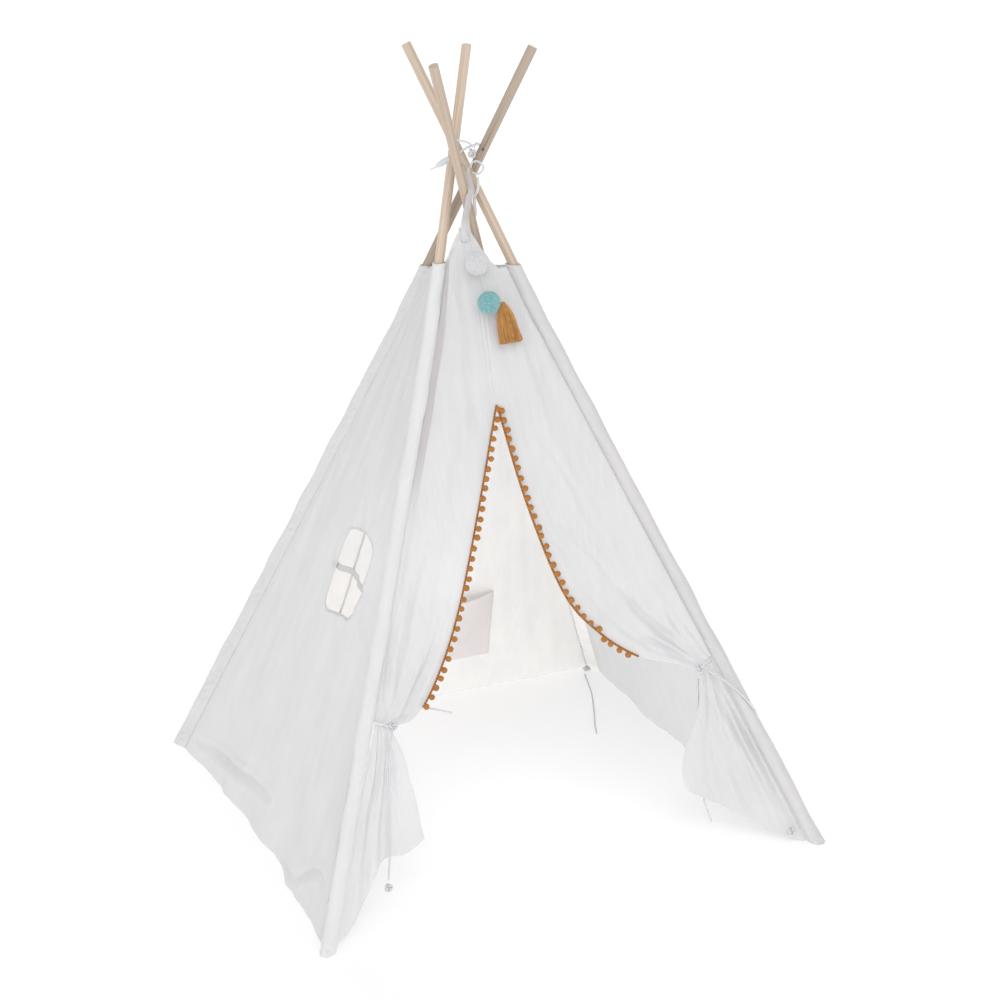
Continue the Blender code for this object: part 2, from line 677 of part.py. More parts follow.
def build_trim(side):
    """The door's edging: a braid along the edge with small pompoms sewn on at an even step."""
    edge = door_edge(side, 130)
    edge = edge[(edge[:, 1] < DOOR_APEX[1] - 0.010) & (np.abs(edge[:, 0]) < TRIM_END[side])]
    place = on_wall("front_wall", edge[:, 0], edge[:, 1])
    place[:, 1] -= CLOTH / 2 + BRAID_RADIUS + 0.0012
    run = np.concatenate([[0], np.cumsum(np.linalg.norm(np.diff(place, axis=0), axis=1))])
    braid_points = smooth_curve(place[::6], math.ceil(run[-1] / 0.020))
    braid = tube(f"door_trim_{side}_braid", braid_points, BRAID_RADIUS, None, "trim", resolution=0)
    bpy.context.view_layer.update()
    mesh = bpy.data.meshes.new_from_object(braid.evaluated_get(bpy.context.evaluated_depsgraph_get()))
    bm = bmesh.new()
    bm.from_mesh(mesh)
    bmesh.ops.remove_doubles(bm, verts=bm.verts, dist=0.00001)
    bmesh.ops.recalc_face_normals(bm, faces=bm.faces)
    bm.to_mesh(mesh)
    bm.free()
    bpy.data.objects.remove(braid, do_unlink=True)
    trim = add_object(f"door_trim_{side}", mesh)
    places = np.arange(0.006, run[-1] - 0.004, POMPOM_STEP)
    centres = np.column_stack([np.interp(places, run, place[:, k]) for k in range(3)])
    way = unit(np.column_stack([np.interp(places, run, np.gradient(place[:, k], run)) for k in range(3)]))
    aside = unit(np.cross((0, -1, 0), way))
    aside = np.where((aside[:, 0] > 0)[:, None], aside, -aside)
    centres = centres + aside * 0.0042 + np.array((0, -0.0040, 0))
    bm = bmesh.new()
    for centre in centres:
        bmesh.ops.create_uvsphere(bm, u_segments=6, v_segments=3, radius=POMPOM_RADIUS,
                                  matrix=Matrix.Translation(centre))
    pompoms = finish_mesh(f"door_trim_{side}_pompoms", bm, cutters)
    boolean(trim, pompoms, "UNION")
    carry(trim, "front_wall", "trim")


def knot_points(centre, size, tilt=(0.0, 0.0, 0.0), count=26):
    """A closed overhand knot: a trefoil that winds twice round and three times through a ring."""
    t = np.linspace(0, 2 * np.pi, count, endpoint=False)
    ring = 2 + np.cos(3 * t)
    flat = np.column_stack([ring * np.cos(2 * t), ring * np.sin(2 * t), 1.15 * np.sin(3 * t)]) * size
    turn = np.array(Euler(tilt).to_matrix())
    return flat @ turn.T + np.asarray(centre)


def build_knot(name, centre, size, body, tilt):
    """A small cord knot as one closed tube."""
    tube(name, knot_points(centre, size, tilt), CORD_RADIUS * 0.9, body, "cord", resolution=1, cyclic=True)


def build_ties():
    """The two tie-backs with their tails, and the ties at the back right and front right corners."""
    facing = (math.radians(68), 0.0, 0.0)
    for side in ("left", "right"):
        along, out = KNOT[side]
        centre = tail_at("front_" + side, along, out, KNOT_PROUD)
        build_knot(f"tie_{side}_knot", centre, 0.0032, "front_" + side, facing)
    across = [(0.4415, 0.0165, 0.0070), (0.4405, 0.0240, 0.0085), (0.4390, 0.0310, 0.0095),
              (0.4380, 0.0385, 0.0100)]
    cord("tie_left_cord", on_tail("front_left", across), "front_left")
    drop = [(0.424, 0.052, 0.013), (0.400, 0.051, 0.016), (0.347, 0.059, 0.018), (0.285, 0.080, 0.018),
            (0.231, 0.102, 0.017), (0.190, 0.110, 0.017), (0.152, 0.117, 0.016)]
    cord("tie_left_tail_long", on_tail("front_left", drop), "left_tail")
    end = tail_at("front_left", 0.138, 0.121, 0.016)
    build_knot("tie_left_tail_knot", end, 0.0028, "left_tail", facing)
    aside = [(-0.302, -0.338, 0.366), (-0.272, -0.344, 0.378), (-0.236, -0.358, 0.372),
             (-0.205, -0.371, 0.364)]
    cord("tie_left_tail_short", aside, "front_left")

    slant = [(0.430, 0.0425, 0.0130), (0.412, 0.032, 0.0160), (0.388, 0.018, 0.0180),
             (0.360, 0.004, 0.0178), (0.330, -0.007, 0.0162), (0.304, -0.0135, 0.0118)]
    cord("tie_right_cord", on_tail("front_right", slant), "front_right")
    hidden = [(0.420, 0.060, -0.012), (0.380, 0.080, -0.014), (0.343, 0.097, -0.014),
              (0.281, 0.124, -0.014), (0.220, 0.151, -0.013), (0.181, 0.168, -0.012),
              (0.153, 0.173, -0.012), (0.131, 0.176, -0.012)]
    cord("tie_right_tail_long", on_tail("front_right", hidden), "right_tail")
    gather = tail_at("front_right", 0.046, 0.036, 0.014)
    build_knot("tie_front_right_corner", gather, 0.0030, "right_tail", facing)

    build_knot("tie_back_right_knot", (0.499, 0.497, 0.0125), 0.0030, "back_right", (0.0, 0.0, 0.4))
    run = [(0.488, 0.485, 0.0026), (0.474, 0.440, 0.0024), (0.455, 0.380, 0.0024), (0.431, 0.320, 0.0024),
           (0.403, 0.255, 0.0024), (0.378, 0.200, 0.0024), (0.359, 0.152, 0.0024)]
    cord("tie_back_right_tail", run, "back_right")
    rise = [(0.496, 0.490, 0.0230), (0.487, 0.482, 0.0420), (0.476, 0.470, 0.0660), (0.465, 0.457, 0.0920)]
    cord("tie_back_right_strand", rise, "back_right")


def build_lashing():
    """The cord that holds the crossing. It comes out of the back left pole's hole, turns round behind
    the back right pole and ends at a knot, from which one bow hangs on either side."""
    route = [(0.0395, 0.0006, 1.3969), (0.0467, 0.0132, 1.3970), (0.0504, 0.0197, 1.3975),
             (0.0480, 0.0285, 1.4000), (0.0400, 0.0290, 1.4040), (0.0310, 0.0160, 1.4075),
             (0.0262, -0.0090, 1.4098), (0.0159, -0.0067, 1.4076), (0.0059, -0.0025, 1.4039),
             (-0.0034, 0.0015, 1.3985), (-0.0150, -0.0060, 1.3945), (-0.0245, -0.0100, 1.3980),
             (-0.0262, -0.0080, 1.4075), (-0.0220, 0.0000, 1.4160), (-0.0145, 0.0055, 1.4186),
             (-0.0080, -0.0010, 1.4172), (0.0010, -0.0060, 1.4150), (0.0110, -0.0112, 1.4087),
             (0.0164, -0.0134, 1.4035)]
    winding = smooth_curve(route, 48)
    gaps = np.linalg.norm(winding[:, None] - winding[None], axis=2)
    steps = np.arange(len(winding))
    far = np.abs(np.subtract.outer(steps, steps)) > 5
    print("least gap between the lashing's turns, mm:", round((gaps[far].min() - 2 * CORD_RADIUS) * 1000, 2))
    tube("lashing_turns", winding, CORD_RADIUS, None, "cord", resolution=1)
    build_knot("lashing_knot", (0.0130, -0.0055, 1.3920), 0.0030, None, (math.radians(80), 0.0, 0.4))
    bow = [(0.0075, -0.0095, 1.3640), (0.0100, -0.0127, 1.3743), (0.0180, -0.0185, 1.3771),
           (0.0262, -0.0220, 1.3719), (0.0305, -0.0216, 1.3639), (0.0274, -0.0181, 1.3550),
           (0.0199, -0.0150, 1.3511), (0.0109, -0.0111, 1.3540)]
    tube("lashing_bow_right", smooth_curve(bow, 18), CORD_RADIUS, None, "cord", resolution=1)
    loop = [(-0.0295, 0.0125, 1.3821), (-0.0330, 0.0140, 1.3800), (-0.0405, 0.0172, 1.3750),
            (-0.0480, 0.0204, 1.3700), (-0.0520, 0.0221, 1.3672), (-0.0535, 0.0227, 1.3660),
            (-0.0590, 0.0250, 1.3632), (-0.0650, 0.0276, 1.3609)]
    tube("lashing_bow_left", loop, CORD_RADIUS, None, "cord", resolution=1)
    widths = (1.8, 2.9, 3.3, 3.2, 2.4, 0.8, 0.7, 0.6)
    bpy.data.curves["lashing_bow_left"].splines[0].points.foreach_set("radius", widths)


def build_hangers():
    """The two strips that hold the front and back walls' peaks up to the lashing."""
    front = [(-0.0130, -0.0085, 1.2490), (-0.0110, -0.0220, 1.2680), (-0.0090, -0.0330, 1.2960),
             (-0.0080, -0.0380, 1.3120), (-0.0035, -0.0385, 1.3240), (-0.0034, -0.0300, 1.3385),
             (-0.0033, -0.0214, 1.3530), (0.0000, -0.0185, 1.3660)]
    back = [(0.0060, 0.0430, 1.2290), (0.0160, 0.0240, 1.2460), (0.0204, 0.0038, 1.2660),
            (0.0150, -0.0090, 1.2880), (0.0105, -0.0195, 1.3060), (0.0146, -0.0290, 1.3246),
            (0.0187, -0.0215, 1.3460)]
    routes = {"front_hanger": ("front_wall", front, 0.0045), "back_hanger": ("back_wall", back, 0.0035)}
    for name, (wall, route, half_width) in routes.items():
        middle = smooth_curve(route, 12)
        rails = [middle - (half_width, 0, 0), middle + (half_width, 0, 0)]
        cloth(name, [np.stack(rails, axis=1)], wall, thickness=0.0012)


def build_pendant():
    """The hanging ornament: a thread, a white pompom, a thread, a teal pompom and a tassel."""
    (white, white_radius), (teal, teal_radius) = WHITE_POMPOM, TEAL_POMPOM
    for name, centre, radius, body, material in (
            ("pompom_white", white, white_radius, "pendant", "white_wool"),
            ("pompom_teal", teal, teal_radius, "pendant_end", "teal_wool")):
        bm = bmesh.new()
        bmesh.ops.create_uvsphere(bm, u_segments=14, v_segments=9, radius=radius,
                                  matrix=Matrix.Translation(centre))
        carry(finish_mesh(name, bm), body, material)
    white, teal = np.array(white), np.array(teal)
    start = np.array(PENDANT_PIVOT)
    above = white + unit(start - white) * (white_radius + GAP)
    upper = [start, (start + above) / 2 + (0, -0.001, 0), above]
    cord("pendant_thread_upper", upper, "pendant", THREAD_RADIUS)
    down = unit(teal - white)
    ends = white + down * (white_radius + GAP), teal - down * (teal_radius + GAP)
    cord("pendant_thread_lower", [ends[0], (ends[0] + ends[1]) / 2, ends[1]], "pendant_end", THREAD_RADIUS)

    head, foot = np.array(TASSEL_HEAD), np.array(TASSEL_FOOT)
    down = unit(foot - head)
    across = unit(np.cross(down, (0, -0.93, 0.37)))
    proud = np.cross(down, across)
    around, rows = 20, 7
    t = np.linspace(0, 1, rows)[:, None]
    angle = np.linspace(0, 2 * np.pi, around, endpoint=False)[None]
    wide = 0.0045 + 0.0205 * t**0.85
    deep = 0.0040 + 0.0055 * t
    flute = 1 + 0.10 * t * np.cos(angle * 7)
    length = np.linalg.norm(foot - head)
    ragged = t + 0.03 * t**4 * np.sin(angle * 3)
    points = (head + (ragged * length)[..., None] * down + (wide * flute * np.cos(angle))[..., None] * across
              + (deep * flute * np.sin(angle))[..., None] * proud)
    faces = grid_faces(rows, around, wrap=True).tolist()
    faces += [list(range(around)), list(range((rows - 1) * around, rows * around))[::-1]]
    mesh = bpy.data.meshes.new("tassel")
    mesh.from_pydata(points.reshape(-1, 3).tolist(), [], faces)
    bm = bmesh.new()
    bm.from_mesh(mesh)
    bmesh.ops.recalc_face_normals(bm, faces=bm.faces)
    carry(finish_mesh("tassel", bm), "pendant_end", "mustard_yarn")


for each_corner in CORNERS:
    build_pole(each_corner)
    build_sleeve(each_corner)
cloth("front_wall", [front_half("left"), front_half("right")], "front_wall")
left_grid = plain_wall("left_wall", 17, 17, bow=0.024, folds=4, depth=0.005, phase=0.8)
cut_window(cloth("left_wall", [left_grid], "left_wall"))
build_window_bars(left_grid)
cloth("right_wall", [plain_wall("right_wall", 13, 12, bow=0.026, folds=4, depth=0.004)], "right_wall")
back_grid = plain_wall("back_wall", 13, 12, peak=BACK_PEAK, bow=0.006, folds=4, depth=0.003, phase=2.0)
cloth("back_wall", [back_grid], "back_wall")
build_pocket(back_grid)
for each_side in ("left", "right"):
    build_tail(each_side)
    build_trim(each_side)
build_ties()
build_lashing()
build_hangers()
build_pendant()
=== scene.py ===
import math

import bmesh
import bpy
import numpy as np
from mathutils import Matrix, Vector


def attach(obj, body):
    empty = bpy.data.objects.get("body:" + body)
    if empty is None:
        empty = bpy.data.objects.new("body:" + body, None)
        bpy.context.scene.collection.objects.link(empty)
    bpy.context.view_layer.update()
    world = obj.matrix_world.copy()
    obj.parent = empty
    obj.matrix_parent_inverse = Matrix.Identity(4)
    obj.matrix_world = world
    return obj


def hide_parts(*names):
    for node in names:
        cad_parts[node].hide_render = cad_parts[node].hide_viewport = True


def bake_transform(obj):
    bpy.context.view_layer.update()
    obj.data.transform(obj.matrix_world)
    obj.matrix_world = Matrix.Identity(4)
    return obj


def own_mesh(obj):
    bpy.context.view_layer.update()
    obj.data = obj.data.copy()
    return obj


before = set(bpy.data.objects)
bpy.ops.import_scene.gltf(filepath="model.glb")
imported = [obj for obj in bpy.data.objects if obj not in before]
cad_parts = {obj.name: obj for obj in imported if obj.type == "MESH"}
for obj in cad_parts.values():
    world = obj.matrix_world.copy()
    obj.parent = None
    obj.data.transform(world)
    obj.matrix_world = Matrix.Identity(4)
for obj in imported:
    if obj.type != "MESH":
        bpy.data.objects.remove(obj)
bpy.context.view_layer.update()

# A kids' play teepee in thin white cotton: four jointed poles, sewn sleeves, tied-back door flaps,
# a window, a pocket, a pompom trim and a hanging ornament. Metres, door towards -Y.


# the camera, at the photograph's viewing angle
cameraSetup = {
    "place": (-1.5571, -3.8161, 1.9646),
    "yaw": math.radians(22.985),
    "pitch": math.radians(-17.506),
    "roll": math.radians(-1.103),
    "lens": 73.97,
}


def makeCamera(setup):
    # looks along the yaw and pitch, then rolls about that line
    yaw, pitch, roll = setup["yaw"], setup["pitch"], setup["roll"]
    ahead = np.array((math.sin(yaw) * math.cos(pitch), math.cos(yaw) * math.cos(pitch), math.sin(pitch)))
    right = np.array((math.cos(yaw), -math.sin(yaw), 0.0))
    up = np.cross(right, ahead)
    acrossView = math.cos(roll) * right + math.sin(roll) * up
    upView = math.cos(roll) * up - math.sin(roll) * right
    data = bpy.data.cameras.new("camera")
    data.lens = setup["lens"]
    data.sensor_width = 36.0
    camera = addObject("camera", data)
    matrix = np.eye(4)
    matrix[:3, :3] = np.column_stack([acrossView, upView, -ahead])
    matrix[:3, 3] = setup["place"]
    camera.matrix_world = Matrix(matrix.tolist())
    bpy.context.scene.camera = camera


# geometry helpers: every shape is a whole array of points on a grid
def unit(vector):
    vector = np.asarray(vector, float)
    return vector / np.linalg.norm(vector, axis=-1, keepdims=True)


def smoothStep(x):
    # 0 below 0, 1 above 1, an even S between
    x = np.clip(x, 0.0, 1.0)
    return x * x * (3 - 2 * x)


def readAt(value, places, points):
    # the points read at each value between their places
    return np.stack([np.interp(value, places, points[:, k]) for k in range(points.shape[1])], axis=-1)


def fadeEnds(share, start, end):
    # 1 across the middle, easing to 0 at both ends over these shares of the width
    return smoothStep(share / start) * smoothStep((1 - share) / end)


def fullTurn(count):
    # even angles once round
    return np.linspace(0, 2 * np.pi, count, endpoint=False)


def ringOf(count, side, proud):
    # circles of unit size in the plane of two directions
    angle = fullTurn(count)[:, None]
    return np.cos(angle) * side[..., None, :] + np.sin(angle) * proud[..., None, :]


def runAlong(points):
    # how far along the line each point is
    return np.concatenate([[0], np.cumsum(np.linalg.norm(np.diff(points, axis=0), axis=1))])


def smoothCurve(points, count):
    # a Catmull-Rom curve through the points, read at even steps of its length
    points = np.asarray(points, float)
    ends = np.vstack([2 * points[0] - points[1], points, 2 * points[-1] - points[-2]])
    a, b, c, d = (ends[k:len(ends) - 3 + k, None] for k in range(4))
    t = np.linspace(0, 1, 40, endpoint=False)[None, :, None]
    bend = 2 * b + (c - a) * t + (2 * a - 5 * b + 4 * c - d) * t**2 + (3 * b - a - 3 * c + d) * t**3
    dense = np.vstack([0.5 * bend.reshape(-1, points.shape[1]), points[-1:]])
    run = runAlong(dense)
    return readAt(np.linspace(0, run[-1], count), run, dense)


def swell(points, wavelength, seed, count=14):
    # soft unevenness between about -1 and 1: a sum of plane waves with random headings
    rng = np.random.default_rng(seed)
    points = np.asarray(points, float)
    total = np.zeros(points.shape[:-1])
    for heading in unit(rng.normal(size=(count, points.shape[-1]))):
        length = wavelength * rng.uniform(0.7, 1.5)
        total += np.sin(points @ heading * 2 * np.pi / length + rng.uniform(0, 2 * np.pi))
    return total / math.sqrt(count)


def gridFaces(rows, columns, wrap=False):
    # four-sided faces over a grid, row by row; wrap joins the last column to the first
    across = columns if wrap else columns - 1
    i, j = np.meshgrid(np.arange(rows - 1), np.arange(across), indexing="ij")
    k = (j + 1) % columns
    faces = (i * columns + j, (i + 1) * columns + j, (i + 1) * columns + k, i * columns + k)
    return np.stack(faces, axis=-1).reshape(-1, 4)


def cappedFaces(rows, columns):
    # the faces of a row of rings, with a flat cap at each end
    caps = [list(range(columns)), list(range((rows - 1) * columns, rows * columns))[::-1]]
    return gridFaces(rows, columns, wrap=True).tolist() + caps


def together(*arrays):
    # arrays spread to one shape and put side by side as coordinates
    return np.stack(np.broadcast_arrays(*arrays), -1)


def camel(node):
    # the piece's name from its node's name
    first, *rest = node.split("_")
    return first + "".join(word.title() for word in rest)


def addObject(name, data):
    thing = bpy.data.objects.new(name, data)
    bpy.context.scene.collection.objects.link(thing)
    return thing


def addPiece(name, points, faces, material, uv=None, smooth=True, attributes=None, drape=None):
    # a mesh from arrays, with an optional UV per point in metres, named point attributes, and for
    # cloth the way its fine creases run, which is the UV unless a drape is given; a third value
    # in the drape is how much painted shade the cloth takes, where it lies double or lies in shade
    mesh = bpy.data.meshes.new(name)
    mesh.from_pydata(np.asarray(points, float).reshape(-1, 3), [], faces)
    layers = dict(attributes or {})
    if uv is not None:
        flat = np.asarray(uv, float).reshape(-1, 2)
        loops = np.zeros(len(mesh.loops), np.int32)
        mesh.loops.foreach_get("vertex_index", loops)
        layer = mesh.uv_layers.new(name="weave")
        layer.data.foreach_set("uv", flat[loops].astype(np.float32).ravel())
        run = flat if drape is None else np.asarray(drape, float).reshape(len(flat), -1)
        layers["drape"] = run if run.shape[1] == 3 else np.column_stack([run, np.zeros(len(run))])
    for key, values in layers.items():
        layer = mesh.attributes.new(key, "FLOAT_VECTOR", "POINT")
        layer.data.foreach_set("vector", np.asarray(values, np.float32).ravel())
    if smooth:
        mesh.shade_smooth()
    mesh.materials.append(material)
    return addObject(name, mesh)


def thicken(piece, thickness, offset=0.0):
    modifier = piece.modifiers.new("thickness", "SOLIDIFY")
    modifier.thickness = thickness
    modifier.offset = offset
    return piece


def flipOut(piece, outward):
    # turns the faces round if they look the other way from the given direction, on the whole
    normals = np.zeros(len(piece.data.polygons) * 3)
    piece.data.polygons.foreach_get("normal", normals)
    if (normals.reshape(-1, 3) @ np.asarray(outward, float)).sum() < 0:
        piece.data.flip_normals()
    return piece


def tubeGrid(path, radius, sides, facing, strands=0, lay=0.009, depth=0.16, closed=False):
    # a circle carried along the path, its radius swelling in strands that wind once in each lay
    path = np.asarray(path, float)
    way = unit(np.roll(path, -1, 0) - np.roll(path, 1, 0)) if closed else unit(np.gradient(path, axis=0))
    side = unit(np.cross(way, facing))
    proud = np.cross(side, way)
    run = runAlong(path)
    if closed:
        lap = run[-1] + np.linalg.norm(path[0] - path[-1])
        lay = lap / max(1, round(lap / lay))
    angle = fullTurn(sides)
    twist = angle[None] * max(strands, 1) - 2 * np.pi * run[:, None] / lay
    reach = np.broadcast_to(np.asarray(radius, float), (len(path),))[:, None] * np.ones((1, sides))
    if strands:
        reach = reach * (1 - depth + depth * np.abs(np.cos(twist / 2)) * 1.6)
    return path[:, None] + ringOf(sides, side, proud) * reach[..., None], run, angle


def tubePiece(name, path, radius, material, facing, sides=12, strands=0, lay=0.009, closed=False, depth=0.16):
    # a closed tube: rings along the path with a flat cap at each end, or joined end to end
    grid, run, angle = tubeGrid(path, radius, sides, facing, strands, lay, depth, closed)
    rows = len(grid)
    faces = gridFaces(rows + 1, sides, wrap=True) % (rows * sides) if closed else cappedFaces(rows, sides)
    piece = addPiece(name, grid, faces, material, together(angle[None] * 0.002, run[:, None]))
    cleanNormals(piece)
    return piece


def cleanNormals(piece):
    # every face of a closed piece looks out
    bm = bmesh.new()
    bm.from_mesh(piece.data)
    bmesh.ops.recalc_face_normals(bm, faces=bm.faces)
    bm.to_mesh(piece.data)
    bm.free()


def coons(top, bottom, left, right):
    # a patch between four edges that meet at its corners, two across and two down
    u = np.linspace(0, 1, len(top))[None, :, None]
    v = np.linspace(0, 1, len(left))[:, None, None]
    across = (1 - v) * top[None] + v * bottom[None]
    down = (1 - u) * left[:, None] + u * right[:, None]
    twist = (1 - v) * ((1 - u) * top[0] + u * top[-1]) + v * ((1 - u) * bottom[0] + u * bottom[-1])
    return across + down - twist


def creasePush(place, creases):
    # each crease is a route, a width and a depth: the cloth dips along it as a bell curve of the
    # distance, with a low ridge on either side, and both fade at the route's ends
    push = np.zeros(place.shape[:-1])
    for route, width, depth in creases:
        line = smoothCurve(route, 50)
        fade = np.clip(np.sin(np.linspace(0.12, np.pi - 0.12, 50)), 0, 1) ** 0.6
        gap = np.linalg.norm(place[..., None, :] - line, axis=-1)
        near, gap = gap.argmin(axis=-1), gap.min(axis=-1) / width
        push += depth * fade[near] * (0.4 * np.exp(-(gap - 2.1) ** 2) - np.exp(-gap**2))
    return push


# material helpers
def linear(colour):
    # sRGB hex to linear red, green, blue and 1
    values = np.array([int(colour[k:k + 2], 16) for k in (1, 3, 5)]) / 255
    values = np.where(values <= 0.04045, values / 12.92, ((values + 0.055) / 1.055) ** 2.4)
    return (*values.tolist(), 1.0)


def feed(tree, node, inputs):
    # each input takes a value or the socket that feeds it
    for key, value in inputs.items():
        if isinstance(value, bpy.types.NodeSocket):
            tree.links.new(value, node.inputs[key])
        else:
            node.inputs[key].default_value = value


def addNode(tree, kind, inputs=None, **settings):
    node = tree.nodes.new(kind)
    for key, value in settings.items():
        setattr(node, key, value)
    feed(tree, node, inputs or {})
    return node


def newMaterial(name):
    material = bpy.data.materials.new(name)
    material.use_nodes = True
    return material, material.node_tree, material.node_tree.nodes["Principled BSDF"]


def layTones(tree, tone, *layers):
    # lays each colour over the tone, more of it as its pattern rises from low to high
    for pattern, low, high, colour in layers:
        share = addNode(tree, "ShaderNodeMapRange", {
            "Value": pattern.outputs["Fac"], "From Min": low, "From Max": high})
        mixed = addNode(tree, "ShaderNodeMix", {
            0: share.outputs["Result"], 6: tone, 7: colour}, data_type="RGBA")
        tone = mixed.outputs[2]
    return tone


# Thin plain-woven cotton, washed and hung: matt and soft white, light comes through it, with fine
# crinkles along the warp and slubs in the threads. The threads are 0.5 mm apart on the real cloth;
# they are drawn at 2.4 mm so that they show.
cottonLook = {
    "side": "#eaeaeb",
    "front": "#ebebec",
    # painted light: the back wall and the pocket inside it are whiter than the same cloth outside, for the
    # light inside the teepee
    "back": "#f9f8f7",
    "pocket": "#f9f5f5",
    # painted light and shade: the left tail lighter and the right tail greyer, for how each is lit
    "tail": {"left": "#efeff0", "right": "#e8e8e9"},
    "double": "#dad7d7",       # painted shade: a grey for where two layers lie on each other and less light comes through, and for cloth in shade
    "thread": 0.0024,
    "slub": (0.006, 0.070),
    "crinkle": (0.012, 0.130),
    "crinkleHeight": 0.00055,
    "threadHeight": 0.00008,
    "through": 0.42,
}


def cottonMaterial(name, colour, slant=0.0, crinkle=1.0, through=cottonLook["through"]):
    look = cottonLook
    material, tree, shader = newMaterial(name)
    weave = addNode(tree, "ShaderNodeUVMap", uv_map="weave")
    drape = addNode(tree, "ShaderNodeAttribute", attribute_name="drape")
    turned = addNode(tree, "ShaderNodeMapping", {
        "Vector": drape.outputs["Vector"], "Rotation": (0, 0, slant)})
    crease = addNode(tree, "ShaderNodeMapping", {
        "Vector": turned.outputs[0],
        "Scale": (1 / look["crinkle"][0], 1 / look["crinkle"][1], 0)})
    creases = addNode(tree, "ShaderNodeTexNoise", {
        "Vector": crease.outputs[0], "Scale": 1.0, "Detail": 4.0, "Roughness": 0.6, "Distortion": 0.5})
    slubs = addNode(tree, "ShaderNodeMapping", {
        "Vector": weave.outputs[0], "Scale": (1 / look["slub"][0], 1 / look["slub"][1], 1)})
    slub = addNode(tree, "ShaderNodeTexNoise", {"Vector": slubs.outputs[0], "Scale": 1.0, "Detail": 3.0})
    threads = []
    for direction in ("X", "Y"):
        wave = addNode(tree, "ShaderNodeTexWave", {
            "Vector": weave.outputs[0], "Scale": 1 / look["thread"] / 6.283 * 2, "Distortion": 0.6,
            "Detail": 1.0}, bands_direction=direction)
        threads.append(wave.outputs["Fac"])
    woven = addNode(tree, "ShaderNodeMath", {0: threads[0], 1: threads[1]}, operation="MULTIPLY")
    patch = addNode(tree, "ShaderNodeTexNoise", {"Vector": weave.outputs[0], "Scale": 9.0, "Detail": 3.0})
    base = linear(colour)
    dim = tuple(c * 0.955 for c in base[:3]) + (1.0,)
    warm = (min(base[0] * 1.006, 1), base[1], base[2] * 0.990, 1.0)
    tone = layTones(tree, dim, (slub, 0.30, 0.72, base), (patch, 0.40, 0.75, warm))
    # painted shade: the drape's third value mixes in the grey for cloth that lies double or lies in shade
    layers = addNode(tree, "ShaderNodeSeparateXYZ", {"Vector": drape.outputs["Vector"]})
    double = addNode(tree, "ShaderNodeMix", {
        0: layers.outputs["Z"], 6: tone, 7: linear(look["double"])}, data_type="RGBA")
    tone = double.outputs[2]
    heights = addNode(tree, "ShaderNodeBump", {
        "Height": creases.outputs["Fac"], "Strength": 1.0, "Distance": look["crinkleHeight"] * crinkle})
    finer = addNode(tree, "ShaderNodeBump", {
        "Height": woven.outputs[0], "Strength": 1.0, "Distance": look["threadHeight"],
        "Normal": heights.outputs[0]})
    feed(tree, shader, {
        "Base Color": tone, "Roughness": 0.92, "Sheen Weight": 0.12, "Specular IOR Level": 0.25,
        "Normal": finer.outputs[0]})
    lit = addNode(tree, "ShaderNodeBsdfTranslucent", {"Color": tone, "Normal": finer.outputs[0]})
    both = addNode(tree, "ShaderNodeMixShader", {0: through, 1: shader.outputs[0], 2: lit.outputs[0]})
    feed(tree, tree.nodes["Material Output"], {"Surface": both.outputs[0]})
    return material


# Spun yarn and cord, with painted light and shade: pale where the fibres' bump stands up and deeper
# between them. Fluffy acrylic yarn, whose fibre ends catch the light, or flatter and duller, twisted cotton
# cord.
def yarnMaterial(name, deep, pale, scale, sheen, spread=0.17, rough=0.65, relief=(0.8, 0.0006),
                 dull=0.95):
    material, tree, shader = newMaterial(name)
    coords = addNode(tree, "ShaderNodeTexCoord")
    fluff = addNode(tree, "ShaderNodeTexNoise", {
        "Vector": coords.outputs["Object"], "Scale": scale, "Detail": 3.0, "Roughness": rough})
    # painted light and shade: the pale colour rises with the same pattern that raises the bump
    tone = layTones(tree, linear(deep), (fluff, 0.5 - spread, 0.5 + spread, linear(pale)))
    bump = addNode(tree, "ShaderNodeBump", {
        "Height": fluff.outputs["Fac"], "Strength": relief[0], "Distance": relief[1]})
    feed(tree, shader, {
        "Base Color": tone, "Normal": bump.outputs[0], "Roughness": dull, "Sheen Weight": sheen})
    return material


# Pine dowel, turned and sanded, left without lacquer: pale, straight grain along the pole with
# darker late wood every few millimetres, a dull satin surface.
woodLook = {"pale": "#c8b7a6", "late": "#b8a28d", "pores": "#ad947c",
            "grain": (0.0032, 0.30),   # its step across and along
            # each pole's wood is painted lighter or darker by this factor, for how that pole is lit
            "shade": {"front_left": 1.04, "front_right": 0.94, "back_left": 0.70, "back_right": 0.84}}


